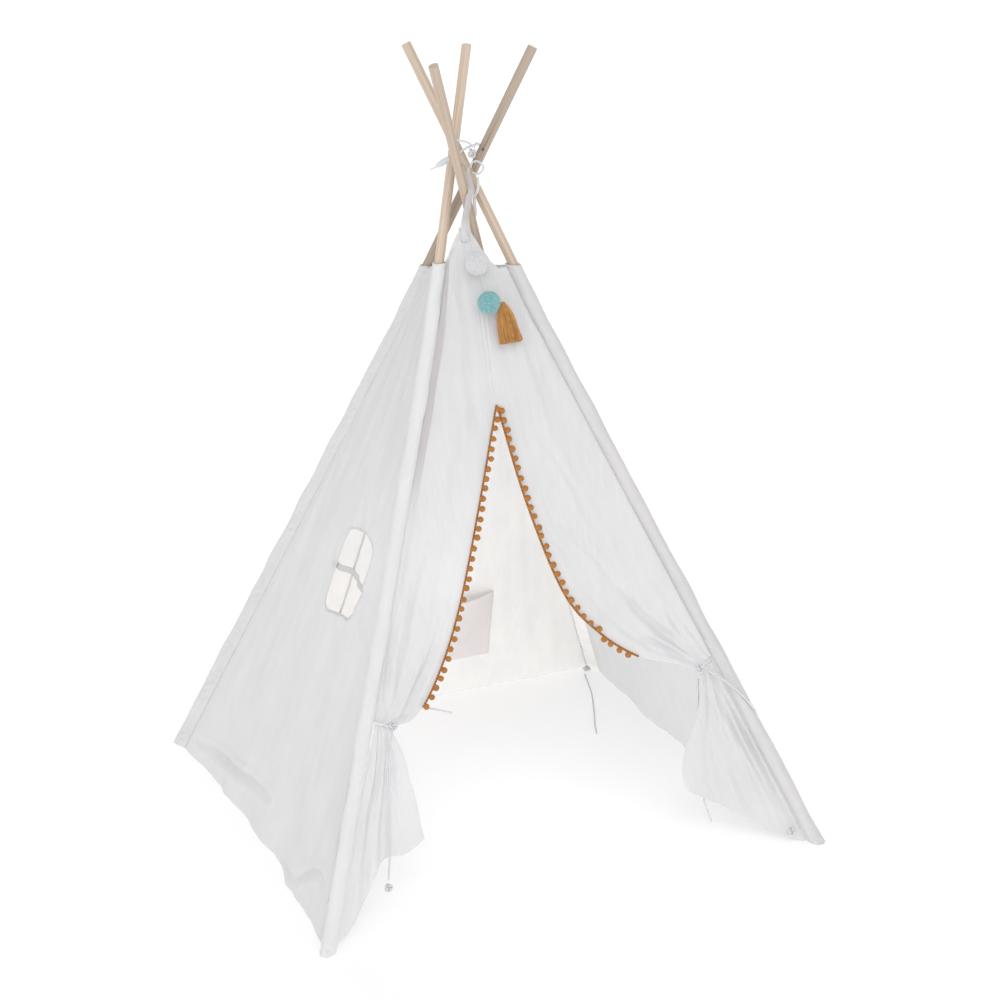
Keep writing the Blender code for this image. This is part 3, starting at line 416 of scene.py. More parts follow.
def woodMaterial(name, start, end, shade):
    material, tree, shader = newMaterial(name)
    coords = addNode(tree, "ShaderNodeTexCoord")
    axis = unit(np.asarray(end) - np.asarray(start))
    turn = Vector(axis).to_track_quat("Z", "Y").to_euler()
    along = addNode(tree, "ShaderNodeMapping", {
        "Vector": coords.outputs["Object"], "Location": tuple(start), "Rotation": tuple(turn)},
        vector_type="TEXTURE")
    across, length = woodLook["grain"]
    stretched = addNode(tree, "ShaderNodeMapping", {
        "Vector": along.outputs[0], "Scale": (1 / across, 1 / across, 1 / length)})
    grain = addNode(tree, "ShaderNodeTexNoise", {
        "Vector": stretched.outputs[0], "Scale": 1.0, "Detail": 4.0, "Roughness": 0.55, "Distortion": 0.4})
    fine = addNode(tree, "ShaderNodeMapping", {
        "Vector": along.outputs[0], "Scale": (2200.0, 2200.0, 40.0)})
    pores = addNode(tree, "ShaderNodeTexNoise", {"Vector": fine.outputs[0], "Scale": 1.0, "Detail": 2.0})
    # painted light and shade: both wood colours are scaled by the pole's factor
    pale, late = (tuple(shade * c for c in linear(woodLook[key])) for key in ("pale", "late"))
    tone = layTones(tree, pale, (grain, 0.42, 0.66, late), (pores, 0.62, 0.86, linear(woodLook["pores"])))
    bump = addNode(tree, "ShaderNodeBump", {
        "Height": grain.outputs["Fac"], "Strength": 0.5, "Distance": 0.0003})
    feed(tree, shader, {"Base Color": tone, "Normal": bump.outputs[0], "Roughness": 0.55})
    return material


# Zinc-plated steel tube: a dull grey metal with fine turning marks.
def steelMaterial():
    material, tree, shader = newMaterial("zincPlatedSteel")
    coords = addNode(tree, "ShaderNodeTexCoord")
    marks = addNode(tree, "ShaderNodeTexNoise", {"Vector": coords.outputs["Object"], "Scale": 300.0})
    tone = addNode(tree, "ShaderNodeMix", {
        0: marks.outputs["Fac"], 6: linear("#b4b3ae"), 7: linear("#d0cfca")}, data_type="RGBA")
    feed(tree, shader, {"Base Color": tone.outputs[2], "Metallic": 1.0, "Roughness": 0.38})
    return material


# the poles and what the cover is cut to: the same driving sizes as the solids
teepee = {
    "poleLength": 1.83,
    "poleRadius": 0.0095,
    "sectionLength": 0.61,
    "footReach": 0.533,
    "footLift": 0.0070,
    "holeFromTip": 0.229,
    "holeRadius": 0.0028,
    "cloth": 0.0012,
    "gap": 0.0001,
    "hemHeight": 0.0014,
    "topShort": 0.004,         # the walls end this far under the sleeves' tops
    "wallSlant": 1.09,         # cloth to one metre of height on a leaning wall
    "sleeveSlant": 1.16,       # and on a leaning pole
    "sleeveRadius": 0.0140,
    "seamTop": 0.003,
    "seamFoot": 0.024,
    "frontPeak": (-0.013, 1.244),
    "backPeak": (0.004, 1.225),
    "doorApex": (-0.004, 0.909),
}
# each pole's corner, its knee and tip in X and Y, its sleeve's top and its fold axis, in degrees
corners = {
    "front_left": {
        "side": (-1, -1), "knee": (-0.111, -0.064), "tip": (0.067, 0.142), "top": 1.180, "turn": 10},
    "front_right": {
        "side": (1, -1), "knee": (0.114, -0.103), "tip": (-0.082, 0.097), "top": 1.172, "turn": 0},
    "back_right": {
        "side": (1, 1), "knee": (0.091, 0.081), "tip": (-0.112, -0.126), "top": 1.162, "turn": -12},
    "back_left": {
        "side": (-1, 1), "knee": (-0.090, 0.124), "tip": (0.120, -0.070), "top": 1.156, "turn": 13},
}
# each wall hangs between two corners, the left one first as seen from outside, and gathers with a
# joint: along its width, towards a place, to a share of it
walls = {
    "front_wall": {
        "between": ("front_left", "front_right"), "out": (0.0, -1.0, 0.0),
        "gather": ((1, 0, 0), (-0.078, 0, 0), 0.34)},
    "right_wall": {
        "between": ("front_right", "back_right"), "out": (1.0, 0.0, 0.0),
        "gather": ((0, 1, 0), (0, 0.071, 0), 0.31)},
    "back_wall": {
        "between": ("back_right", "back_left"), "out": (0.0, 1.0, 0.0),
        "gather": ((1, 0, 0), (0.014, 0, 0), 0.12)},
    "left_wall": {
        "between": ("back_left", "front_left"), "out": (-1.0, 0.0, 0.0),
        "gather": ((0, 1, 0), (0, 0.140, 0), 0.28)},
}


def poleLine(corner):
    # the foot, knee and tip of a pole's centre line
    spec = corners[corner]
    foot = np.array([spec["side"][0] * teepee["footReach"], spec["side"][1] * teepee["footReach"], 0.0])
    knee = np.array([*spec["knee"], 0.0])
    knee[2] = math.sqrt((2 * teepee["sectionLength"]) ** 2 - np.sum((knee - foot) ** 2))
    tip = np.array([*spec["tip"], knee[2]])
    tip[2] += math.sqrt(teepee["sectionLength"] ** 2 - np.sum((tip - knee) ** 2))
    return np.array([foot, knee, tip])


def poleAt(corner, height):
    line = poleLine(corner)
    return readAt(height, line[:, 2], line)


def poleAlong(corner, distance):
    return readAt(distance, (0.0, 2 * teepee["sectionLength"], teepee["poleLength"]), poleLine(corner))


def foldAxis(corner):
    # the level axis through the lashing hole
    line = poleLine(corner)
    away = line[0] - line[2]
    turn = math.radians(corners[corner]["turn"])
    c, s = math.cos(turn), math.sin(turn)
    return np.cross((0.0, 0.0, 1.0), unit((c * away[0] - s * away[1], s * away[0] + c * away[1], 0.0)))


def otherEnd(wall, corner):
    first, second = walls[wall]["between"]
    return second if corner == first else first


def seamWay(corner):
    # the level direction from a pole towards its side wall
    other = otherEnd(corner.split("_")[1] + "_wall", corner)
    return unit((poleAt(other, 0.6) - poleAt(corner, 0.6)) * (1, 1, 0))


def sleeveReach(corner, direction, height, sharpness=6):
    # how far the sleeve's surface is from the pole's centre in a level direction
    line = poleLine(corner)
    slant = np.sum(np.asarray(direction) * unit(line[1] - line[0]), axis=-1)
    roundPart = teepee["sleeveRadius"] / np.sqrt(1 - slant**2)
    facing = np.clip(np.sum(np.asarray(direction) * seamWay(corner), axis=-1), 0, 1)
    seam = np.interp(height, (0.0, corners[corner]["top"]), (teepee["seamFoot"], teepee["seamTop"]))
    return roundPart + seam * facing**sharpness


def wallEdge(wall, corner, heights):
    # where a wall meets the sleeve at one of its corners
    here, there = poleAt(corner, heights), poleAt(otherEnd(wall, corner), heights)
    way = unit((there - here) * (1, 1, 0))
    reach = sleeveReach(corner, way, heights) + teepee["gap"] + teepee["cloth"] / 2
    return here + way * reach[..., None]


def wallTop(corner):
    return corners[corner]["top"] - teepee["topShort"]


def onWall(wall, level, height):
    # the point of the straight wall at a level place, X on front and back and Y on the sides
    first, second = walls[wall]["between"]
    a, b = poleAt(first, height), poleAt(second, height)
    axis = 0 if wall in ("front_wall", "back_wall") else 1
    share = (np.asarray(level) - a[..., axis]) / (b[..., axis] - a[..., axis])
    return a + (b - a) * share[..., None]


def settle(piece, node=None, body=None, wall=None, blend=None):
    # the piece stands for its solid, and follows a body, or a wall with which it is drawn together
    # as the poles fold; with a blend its place is only baked into its mesh, and the blend's bodies and places
    # are not used
    if node:
        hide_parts(node)
    if wall:
        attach(piece, wall)
        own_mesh(piece)
    elif blend:
        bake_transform(piece)
    else:
        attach(piece, body)
    return piece


makeCamera(cameraSetup)
bpy.context.scene.view_settings.view_transform = "Standard"
cordCotton = yarnMaterial("twistedCottonCord", "#c2c3c6", "#d9dadc", 900.0, sheen=0.0, spread=0.20,
                          rough=0.5, relief=(0.6, 0.0003), dull=0.9)
print("camera and helpers ready")


# the cords: routes as in the solids, (along the pole, out from it, proud of the cloth) or X, Y, Z
cordSetup = {
    "radius": 0.0020,
    "lay": 0.0085,
    "sides": 12,
    "steps": 0.0011,           # from ring to ring along it
    "knotRadius": 0.0021,      # pulled tight, a knot's cord looks a little fuller
    "knotLay": 0.0075,
}
flatKnot = (math.radians(68), 0.0, 0.0)
ties = {
    "knot": {"left": (0.438, 0.052), "right": (0.440, 0.055)},   # along the pole and out from it
    "neckGap": 0.0015,         # the cloth parts this far above and below the tie
    "bend": (0.41, 0.27),      # a loose flap and the cord on it turn between these places on the pole
    "turnIn": (math.radians(30), 0.43, 0.20),   # it hangs turned in, from a place down over a length
    # each knot's pole, if its place is given from one, its place, size, tilt, body and node
    "knots": {
        "tieKnotLeft": (
            "front_left", (0.438, 0.052, 0.0105), 0.0025, flatKnot, "front_left_pole", "tie_left_knot"),
        "tieKnotRight": (
            "front_right", (0.440, 0.055, 0.0105), 0.0025, flatKnot, "front_right_pole", "tie_right_knot"),
        "tieKnotLeftEnd": (
            "front_left", (0.138, 0.121, 0.016), 0.0024, flatKnot, "left_flap_tail", "tie_left_tail_knot"),
        "tieKnotFrontRight": (
            "front_right", (0.046, 0.036, 0.014), 0.0027, flatKnot, "right_flap_tail",
            "tie_front_right_corner"),
        "tieKnotBackRight": (
            None, (0.499, 0.497, 0.0125), 0.0030, (0.0, 0.0, 0.4), "back_right_pole", "tie_back_right_knot"),
    },
    "leftCord": [
        (0.4415, 0.0165, 0.0070), (0.4405, 0.0240, 0.0085), (0.4390, 0.0310, 0.0095),
        (0.4380, 0.0400, 0.0102), (0.4378, 0.0490, 0.0104)],
    "leftLong": [
        (0.424, 0.052, 0.013), (0.400, 0.051, 0.016), (0.347, 0.059, 0.018), (0.285, 0.080, 0.018),
        (0.231, 0.102, 0.017), (0.190, 0.110, 0.017), (0.152, 0.117, 0.016)],
    "leftShort": [
        (-0.302, -0.338, 0.366), (-0.272, -0.344, 0.378), (-0.236, -0.358, 0.372), (-0.205, -0.371, 0.364)],
    "rightCord": [
        (0.430, 0.0425, 0.0130), (0.412, 0.032, 0.0160), (0.388, 0.018, 0.0180), (0.360, 0.004, 0.0178),
        (0.330, -0.007, 0.0162), (0.304, -0.0135, 0.0118)],
    "rightLong": [
        (0.420, 0.060, -0.012), (0.380, 0.080, -0.014), (0.343, 0.097, -0.014), (0.281, 0.124, -0.014),
        (0.220, 0.151, -0.013), (0.181, 0.168, -0.012), (0.153, 0.173, -0.012), (0.131, 0.176, -0.012)],
    "backTail": [
        (0.488, 0.485, 0.0026), (0.474, 0.440, 0.0024), (0.455, 0.380, 0.0024), (0.431, 0.320, 0.0024),
        (0.403, 0.255, 0.0024), (0.378, 0.200, 0.0024), (0.359, 0.152, 0.0024)],
    "backStrand": [
        (0.496, 0.490, 0.0230), (0.487, 0.482, 0.0420), (0.476, 0.470, 0.0660), (0.465, 0.457, 0.0920)],
}


def tailFrame(corner, turn):
    # the directions up the pole and out across the loose flap
    line = poleLine(corner)
    up = unit(line[1] - line[0])
    across = np.array([-corners[corner]["side"][0], 0.0, 0.0])
    across = unit(across - up * (across @ up))
    inward = np.cross(across, up)
    inward = inward if inward[1] > 0 else -inward
    turn = np.asarray(turn)[..., None]
    return up, across * np.cos(turn) + inward * np.sin(turn)


def tailAt(corner, along, out, proud=0.0):
    # a point of the loose flap below the tie, which turns in lower down as it hangs straight
    most, start, over = ties["turnIn"]
    turn = most * smoothStep((start - np.asarray(along)) / over)
    up, across = tailFrame(corner, turn)
    outside = np.cross(across, up)
    outside = np.where((outside[..., 1] < 0)[..., None], outside, -outside)
    place = poleAlong(corner, 0.0) + np.asarray(along)[..., None] * up
    return place + np.asarray(out)[..., None] * across + np.asarray(proud)[..., None] * outside


def onTail(corner, route):
    return np.array([tailAt(corner, *point) for point in route])


def knotPath(centre, size, tilt, count=96):
    # a trefoil: it winds twice round and three times through a ring
    t = fullTurn(count)
    ring = 2 + np.cos(3 * t)
    flat = np.column_stack([ring * np.cos(2 * t), ring * np.sin(2 * t), 1.15 * np.sin(3 * t)]) * size
    turn = np.array(Matrix.Rotation(tilt[2], 3, "Z") @ Matrix.Rotation(tilt[1], 3, "Y")
                    @ Matrix.Rotation(tilt[0], 3, "X"))
    return flat @ turn.T + np.asarray(centre), turn[:, 2]


def makeKnot(name, centre, size, tilt):
    path, facing = knotPath(centre, size, tilt)
    return tubePiece(name, path, cordSetup["knotRadius"], cordCotton, facing, 10, 3, cordSetup["knotLay"],
                     closed=True)


def makeCord(name, route, node, body=None, blend=None, facing=(0.25, -1.0, 0.15)):
    # a laid cord along the route, its rings spaced by its measured length
    radius = cordSetup["radius"]
    length = float(runAlong(smoothCurve(route, 200))[-1])
    path = smoothCurve(route, max(24, int(length / cordSetup["steps"])))
    piece = tubePiece(name, path, radius, cordCotton, facing, cordSetup["sides"], 3, cordSetup["lay"])
    settle(piece, node, body, blend=blend)


def tailHinge(side):
    # the bodies on the two sides of a loose flap's hinge, and the places it turns between
    start, end = (tuple(poleAlong("front_" + side, along)) for along in ties["bend"])
    return f"front_{side}_pole", f"{side}_flap_tail", start, end


def makeTies():
    # the tie-backs on the front poles and at the corners, with their knots, cords and loose tails
    for name, (corner, place, size, tilt, body, node) in ties["knots"].items():
        centre = tailAt(corner, *place) if corner else place
        settle(makeKnot(name, centre, size, tilt), node, body)
    leftCord, leftLong = (onTail("front_left", ties[key]) for key in ("leftCord", "leftLong"))
    rightCord, rightLong = (onTail("front_right", ties[key]) for key in ("rightCord", "rightLong"))
    makeCord("tieCordLeft", leftCord, "tie_left_cord", "front_left_pole")
    makeCord("tieCordRight", rightCord, "tie_right_cord", "front_right_pole")
    makeCord("tieTailLeftLong", leftLong, "tie_left_tail_long",
             blend=tailHinge("left"))
    makeCord("tieTailLeftShort", ties["leftShort"], "tie_left_tail_short",
             "front_left_pole", facing=(0.0, 0.2, 1.0))
    makeCord("tieTailRightLong", rightLong, "tie_right_tail_long",
             blend=tailHinge("right"))
    makeCord("tieTailBackRight", ties["backTail"], "tie_back_right_tail",
             "back_right_pole", facing=(0.0, 0.0, 1.0))
    makeCord("tieStrandBackRight", ties["backStrand"], "tie_back_right_strand",
             "back_right_pole")


makeTies()
print("ties made")


poleSetup = {
    "sides": 48,
    "edgeRings": 6,
    "fuller": 0.0004,          # wood swells a little past the nominal dowel
    "sectionGap": 0.0006,
    "footCut": teepee["footLift"] / 0.86,   # the leaning pole starts this far up its own line
    "tipPast": 0.003,          # the rounded tip stands this far past the measured length
    "edge": {"lower": 0.0008, "middle": 0.0008, "upper": 0.0026},
}


def drillPole(piece, name, corner, wood, sideways, way):
    # the lashing's hole, cut across the pole on its fold axis
    hole = poleAlong(corner, teepee["poleLength"] - teepee["holeFromTip"])
    reach = sideways * teepee["poleRadius"] * 1.6
    drill = tubePiece(name + "Drill", [hole - reach, hole, hole + reach], teepee["holeRadius"], wood, way, 20)
    cut = piece.modifiers.new("hole", "BOOLEAN")
    cut.object = drill
    cut.solver = "EXACT"
    bpy.context.view_layer.update()
    drilled = bpy.data.meshes.new_from_object(piece.evaluated_get(bpy.context.evaluated_depsgraph_get()))
    piece.modifiers.clear()
    piece.data = drilled
    bpy.data.objects.remove(drill, do_unlink=True)


def makePoleSection(corner, index, part):
    # rings along the section, drawn in at both ends by a quarter circle for the sanded edge
    setup = poleSetup
    stops = (0.0, teepee["sectionLength"], 2 * teepee["sectionLength"], teepee["poleLength"])
    start = stops[index] + (setup["footCut"] if part == "lower" else setup["sectionGap"])
    end = stops[index + 1] + (setup["tipPast"] if part == "upper" else -setup["sectionGap"])
    edge, full = setup["edge"][part], teepee["poleRadius"] + setup["fuller"]
    turn = np.linspace(0, np.pi / 2, setup["edgeRings"])
    inset, reach = edge * (1 - np.cos(turn)), full - edge * (1 - np.sin(turn))
    path = poleAlong(corner, np.concatenate([start + inset, end - inset[::-1]]))
    radius = np.concatenate([reach, reach[::-1]])
    sideways = foldAxis(corner)
    way = unit(path[-1] - path[0])
    ring = ringOf(setup["sides"], sideways, unit(np.cross(sideways, way)))
    points = path[:, None] + ring[None] * radius[:, None, None]
    # painted light and shade: each pole's sections get a lit or shaded copy of the wood
    shade = woodLook["shade"][corner]
    wood = woodMaterial(f"sandedPine_{corner}_{part}", path[0], path[-1], shade)
    node = f"pole_{corner}_{part}"
    piece = addPiece(camel(node), points, cappedFaces(len(path), setup["sides"]), wood)
    cleanNormals(piece)
    piece.data.set_sharp_from_angle(angle=math.radians(50))
    if part == "upper":
        drillPole(piece, camel(node), corner, wood, sideways, way)
    settle(piece, node, corner + "_pole")


for eachCorner in corners:
    for eachIndex, eachPart in enumerate(("lower", "middle", "upper")):
        makePoleSection(eachCorner, eachIndex, eachPart)
steel = steelMaterial()
for eachNode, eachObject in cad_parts.items():
    if eachNode.startswith("ferrule"):
        eachObject.data.materials.clear()
        eachObject.data.materials.append(steel)
print("poles made")


# the sleeves: a tube of cloth round each pole whose seam stands out beside the side wall
sleeveSetup = {
    "rows": 420,
    "around": 72,
    "crowd": 0.72,         # how much closer together the rows are near the seam
    "thickness": 0.0010,
    "pucker": 0.0013,      # small folds across, where the seam draws the cloth in
    "puckerStep": 0.013,
    "slack": 0.0012,       # longer unevenness
    "slackStep": 0.11,
    "foot": 0.045,         # the closed end is bunched up to this height
    "bunch": 0.0012,
    "clear": 0.0022,       # the cloth's least room to the pole, and its most beyond the circle
}
sleevePaintedLight = {                 # each corner's cloth colour, painted whiter or greyer for how that corner is lit, and how much light comes through it
    "front_left": ("#ededee", 0.22),
    "front_right": ("#e8e7e8", 0.34),
    "back_right": ("#fbf9f7", 0.06),
    "back_left": ("#ebebec", 0.32),
}


def makeSleeve(corner):
    # around the pole the cloth follows a circle and then runs straight to the seam, as a sheet
    # drawn round a rod does: reach = radius / cos(angle short of where the line leaves the circle);
    # small folds across it start at the seam, where the stitches draw the cloth in
    setup = sleeveSetup
    top = corners[corner]["top"]
    heights = np.linspace(0.0, top, setup["rows"])
    other = otherEnd(corner.split("_")[1] + "_wall", corner)
    centre = poleAt(corner, heights)
    seam = unit((poleAt(other, heights) - centre) * (1, 1, 0))
    far = sleeveReach(corner, seam, heights)[:, None]
    turn = fullTurn(setup["around"])
    turn = (turn - setup["crowd"] * np.sin(turn))[None]
    angle = np.arctan2(seam[:, 1], seam[:, 0])[:, None] + turn
    ways = np.stack([np.cos(angle), np.sin(angle), np.zeros(angle.shape)], -1)
    line = poleLine(corner)
    radius = teepee["sleeveRadius"] / np.sqrt(1 - (ways @ unit(line[1] - line[0])) ** 2)
    away = np.minimum(turn, 2 * np.pi - turn)
    leave = np.arccos(np.clip(radius[:, :1] / far, 0, 1))
    reach = radius / np.cos(np.maximum(leave - away, 0))
    run = heights[:, None] * teepee["sleeveSlant"] * np.ones_like(turn)
    seed = list(corners).index(corner) + 11
    around = turn * teepee["sleeveRadius"] * np.ones_like(run)
    slack = swell(np.stack([run, around * 2.4], -1), setup["slackStep"], seed) * setup["slack"]
    drawn = 0.22 + 0.78 * np.clip(np.cos(turn), 0, 1)
    pucker = swell(np.stack([run, around * 0.45], -1), setup["puckerStep"], seed + 5)
    pucker = pucker * setup["pucker"] * drawn
    bunch = 1 - smoothStep(heights / setup["foot"])[:, None]
    pucker = pucker + bunch * setup["bunch"] * swell(np.stack([run * 0.6, around], -1), 0.009, seed + 9)
    room = np.clip(reach - teepee["poleRadius"] - setup["clear"], 0.0008, None)
    reach = reach + np.clip(slack + pucker, -room, setup["clear"])
    points = centre[:, None] + ways * reach[..., None]
    points[..., 2] = np.maximum(points[..., 2], 0.0)
    count = turn.shape[1]
    faces = gridFaces(setup["rows"], count, wrap=True).tolist() + [list(range(count))]
    uv = np.stack([around, run], -1)
    # painted light and shade: each corner gets its own lit or shaded copy of the cloth
    colour, through = sleevePaintedLight[corner]
    cotton = cottonMaterial("plainCottonSleeve_" + corner, colour, 0.0, 0.7, through)
    piece = addPiece(camel("sleeve_" + corner), points, faces, cotton, uv, drape=uv[..., ::-1])
    cleanNormals(piece)
    thicken(piece, setup["thickness"], -1.0)
    settle(piece, "sleeve_" + corner, corner + "_pole")


cottonSide = cottonMaterial("plainCottonSide", cottonLook["side"], 0.10)
# painted shade: the window strips take the grey for cloth in shade
cottonStripPaintedShade = cottonMaterial("plainCottonStripPaintedShade", cottonLook["double"], 0.0, 0.6, 0.25)
cottonFront = cottonMaterial("plainCottonFront", cottonLook["front"], -0.08)
# painted light: the back wall and the pocket take whiter copies of the cloth
cottonBackPaintedLight = cottonMaterial("plainCottonBackPaintedLight", cottonLook["back"], 0.05)
cottonPocketPaintedLight = cottonMaterial("plainCottonPocketPaintedLight", cottonLook["pocket"], 0.0, 0.6)
for eachCorner in corners:
    makeSleeve(eachCorner)
print("sleeves made")


# walls
wallSetup = {
    "left_wall": {
        "columns": 190, "rows": 210, "bow": 0.024, "folds": 4, "depth": 0.005, "phase": 0.8, "seed": 31,
        # creases seen in the cloth: a route in Y and Z, a width and a depth
        "creases": (
            (((-0.120, 0.562), (-0.194, 0.517), (-0.265, 0.471), (-0.339, 0.423)), 0.010, 0.006),
            (((0.470, 0.036), (0.304, 0.051), (0.127, 0.067), (-0.016, 0.083)), 0.008, 0.009),
            (((-0.140, 0.013), (-0.262, 0.023), (-0.315, 0.056), (-0.363, 0.081), (-0.419, 0.075),
              (-0.493, 0.050)), 0.008, 0.007),
            (((0.061, 0.659), (0.145, 0.704), (0.237, 0.765)), 0.006, 0.002),
            (((-0.041, 0.661), (0.014, 0.717), (0.069, 0.785)), 0.006, 0.002)),
    },
    "right_wall": {
        "columns": 150, "rows": 170, "bow": 0.026, "folds": 4, "depth": 0.004, "phase": 0.0, "seed": 37},
    "back_wall": {
        "columns": 160, "rows": 170, "bow": 0.006, "folds": 4, "depth": 0.003, "phase": 2.0, "seed": 43},
    "front_wall": {
        "columns": 106, "above": 76, "below": 150, "seed": 53,
        "gathered": {"left": 0.0030, "right": 0.0036},   # the folds' depth towards the ties
        "taut": 0.003,         # the soft waves above the door
        "belly": 0.016,        # how far each flap sags in
        "creases": {
            "left": (
                (((-0.209, 0.497), (-0.238, 0.456), (-0.271, 0.416), (-0.296, 0.386), (-0.320, 0.366)),
                 0.006, 0.007),
                (((-0.196, 0.640), (-0.265, 0.505), (-0.307, 0.421), (-0.328, 0.372)), 0.010, 0.005),
                (((-0.2735, 0.574), (-0.309, 0.489), (-0.329, 0.424), (-0.338, 0.380)), 0.006, 0.006),
                (((-0.327, 0.358), (-0.303, 0.375), (-0.294, 0.3775), (-0.274, 0.376)), 0.003, 0.003),
                (((-0.029, 1.187), (-0.075, 1.053), (-0.116, 0.9535), (-0.148, 0.873)), 0.0022, 0.0012)),
            "right": (
                (((0.214, 0.436), (0.242, 0.430), (0.272, 0.412), (0.318, 0.375)), 0.005, 0.006),
                (((0.209, 0.533), (0.222, 0.497), (0.236, 0.476), (0.269, 0.441), (0.302, 0.425)),
                 0.007, 0.005),
                (((0.174, 0.566), (0.225, 0.493), (0.284, 0.428), (0.320, 0.390)), 0.007, 0.004),
                (((0.285, 0.487), (0.305, 0.440), (0.330, 0.398)), 0.006, 0.004),
                (((0.0735, 0.848), (0.1015, 0.794), (0.128, 0.739), (0.151, 0.683), (0.184, 0.622)),
                 0.007, 0.0022),
                (((0.160, 0.837), (0.175, 0.809), (0.194, 0.765), (0.224, 0.713)), 0.007, 0.0020),
                (((0.0365, 0.719), (0.051, 0.697), (0.059, 0.661), (0.074, 0.636), (0.094, 0.618)),
                 0.005, 0.0028),
                (((0.069, 0.695), (0.1105, 0.649), (0.155, 0.596), (0.192, 0.550)), 0.006, 0.0022)),
        },
        # the middle seam above the door, as X and Z
        "seam": (
            (((0.0050, 1.090), (0.0010, 1.011), (-0.0020, 0.964), (-0.0030, 0.922)), 0.0022, 0.0014),
            (((-0.0030, 1.090), (-0.0070, 1.011), (-0.0100, 0.964), (-0.0100, 0.925)), 0.0022, 0.0010)),
    },
    # small unevenness all over: its height, its step and how it is drawn out along the cloth
    "ripple": 0.0012,
    "rippleStep": 0.045,
    "rippleShape": (1, 0.22),
}


def rippled(drape, seed):
    return swell(drape * wallSetup["rippleShape"], wallSetup["rippleStep"], seed) * wallSetup["ripple"]


def wallGrid(wall, peak=None):
    # taut at the sleeves, bowed in at the hem by its own weight, with soft folds that deepen
    # towards the floor: the push out of the straight wall is a sum of sines of the width
    setup = wallSetup[wall]
    first, second = walls[wall]["between"]
    tops = wallTop(first), wallTop(second)
    u = np.linspace(0, 1, setup["columns"])
    v = np.linspace(0, 1, setup["rows"])
    hem = teepee["hemHeight"]
    left = wallEdge(wall, first, tops[0] + (hem - tops[0]) * v)
    right = wallEdge(wall, second, tops[1] + (hem - tops[1]) * v)
    top = left[0] + (right[0] - left[0]) * u[:, None]
    if peak is not None:
        rise = peak[1] - top[:, 2].mean()
        top[:, 2] += rise * np.sin(np.pi * u) ** 7
        inner = onWall(wall, top[:, 0], top[:, 2])
        top = np.where((u * (1 - u))[:, None] > 0, inner, top)
    bottom = left[-1] + (right[-1] - left[-1]) * u[:, None]
    points = coons(top, bottom, left, right)
    edge = np.sin(np.pi * u) ** 0.7
    wave = np.sin(2 * np.pi * setup["folds"] * u + setup["phase"])
    wave = wave + 0.6 * np.sin(2 * np.pi * (setup["folds"] * 0.6) * u + 1 + setup["phase"])
    push = setup["depth"] * edge * wave * (0.25 + 0.75 * v[:, None])
    push = push - setup["bow"] * np.sin(np.pi * u) * v[:, None] ** 2
    flat = points[..., [1, 2]] if "left" in wall or "right" in wall else points[..., [0, 2]]
    still = fadeEnds(u, 0.08, 0.08)
    drape = fanned(flat)
    push = push + rippled(drape, setup["seed"]) * still
    push = push + creasePush(flat, setup.get("creases", ())) * still
    return points + push[..., None] * np.array(walls[wall]["out"]), flat * (1, teepee["wallSlant"]), drape


def fanned(flat):
    # places turned into an angle round the teepee's top and a distance from it, for creases that
    # fan out towards the hem
    place = flat - (0.0, 1.75)
    far = np.linalg.norm(place, axis=-1)
    return np.stack([np.arctan2(place[..., 0], -place[..., 1]) * 1.2, far], -1)


def layCloth(piece, wall, node, thickness=None):
    # cloth faces out, gets its thickness and gathers with its wall
    flipOut(piece, walls[wall]["out"])
    thicken(piece, thickness or teepee["cloth"])
    return settle(piece, node, wall=wall)


def makeWall(wall, material, peak=None):
    points, uv, drape = wallGrid(wall, peak)
    piece = addPiece(camel(wall), points, gridFaces(*points.shape[:2]), material, uv, drape=drape)
    return layCloth(piece, wall, wall), points


def declareSheet(piece):
    # reads the areas of the piece's faces, and does nothing more with them
    areas = np.zeros(len(piece.data.polygons))
    piece.data.polygons.foreach_get("area", areas)


# the window in the left wall: places are Y and Z on the wall
windowSetup = {
    "centre": (-0.056, 0.565),
    "size": (0.172, 0.177),
    "round": 0.038,
    "slope": (0.055, 0.150),   # how steeply its top and its bottom rise
    "slide": 0.0033,           # the cloth's grid slides onto the outline from this near
    "hemRadius": 0.0024,       # flattened to a third
    "hemPoints": 220,
}


def windowDistance(level, height, grow=0.0):
    # how far a place is outside the window's round-cornered outline, negative inside
    setup = windowSetup
    y, z = level - setup["centre"][0], (height - setup["centre"][1]) * 1.08
    top, bottom = setup["slope"]
    z = z + y * (top + (bottom - top) * smoothStep(0.5 - z / 0.12))
    half = np.array(setup["size"]) / 2 + grow - setup["round"]
    dy, dz = np.abs(y) - half[0], np.abs(z) - half[1]
    outer = np.hypot(np.maximum(dy, 0), np.maximum(dz, 0))
    return outer + np.minimum(np.maximum(dy, dz), 0) - setup["round"]


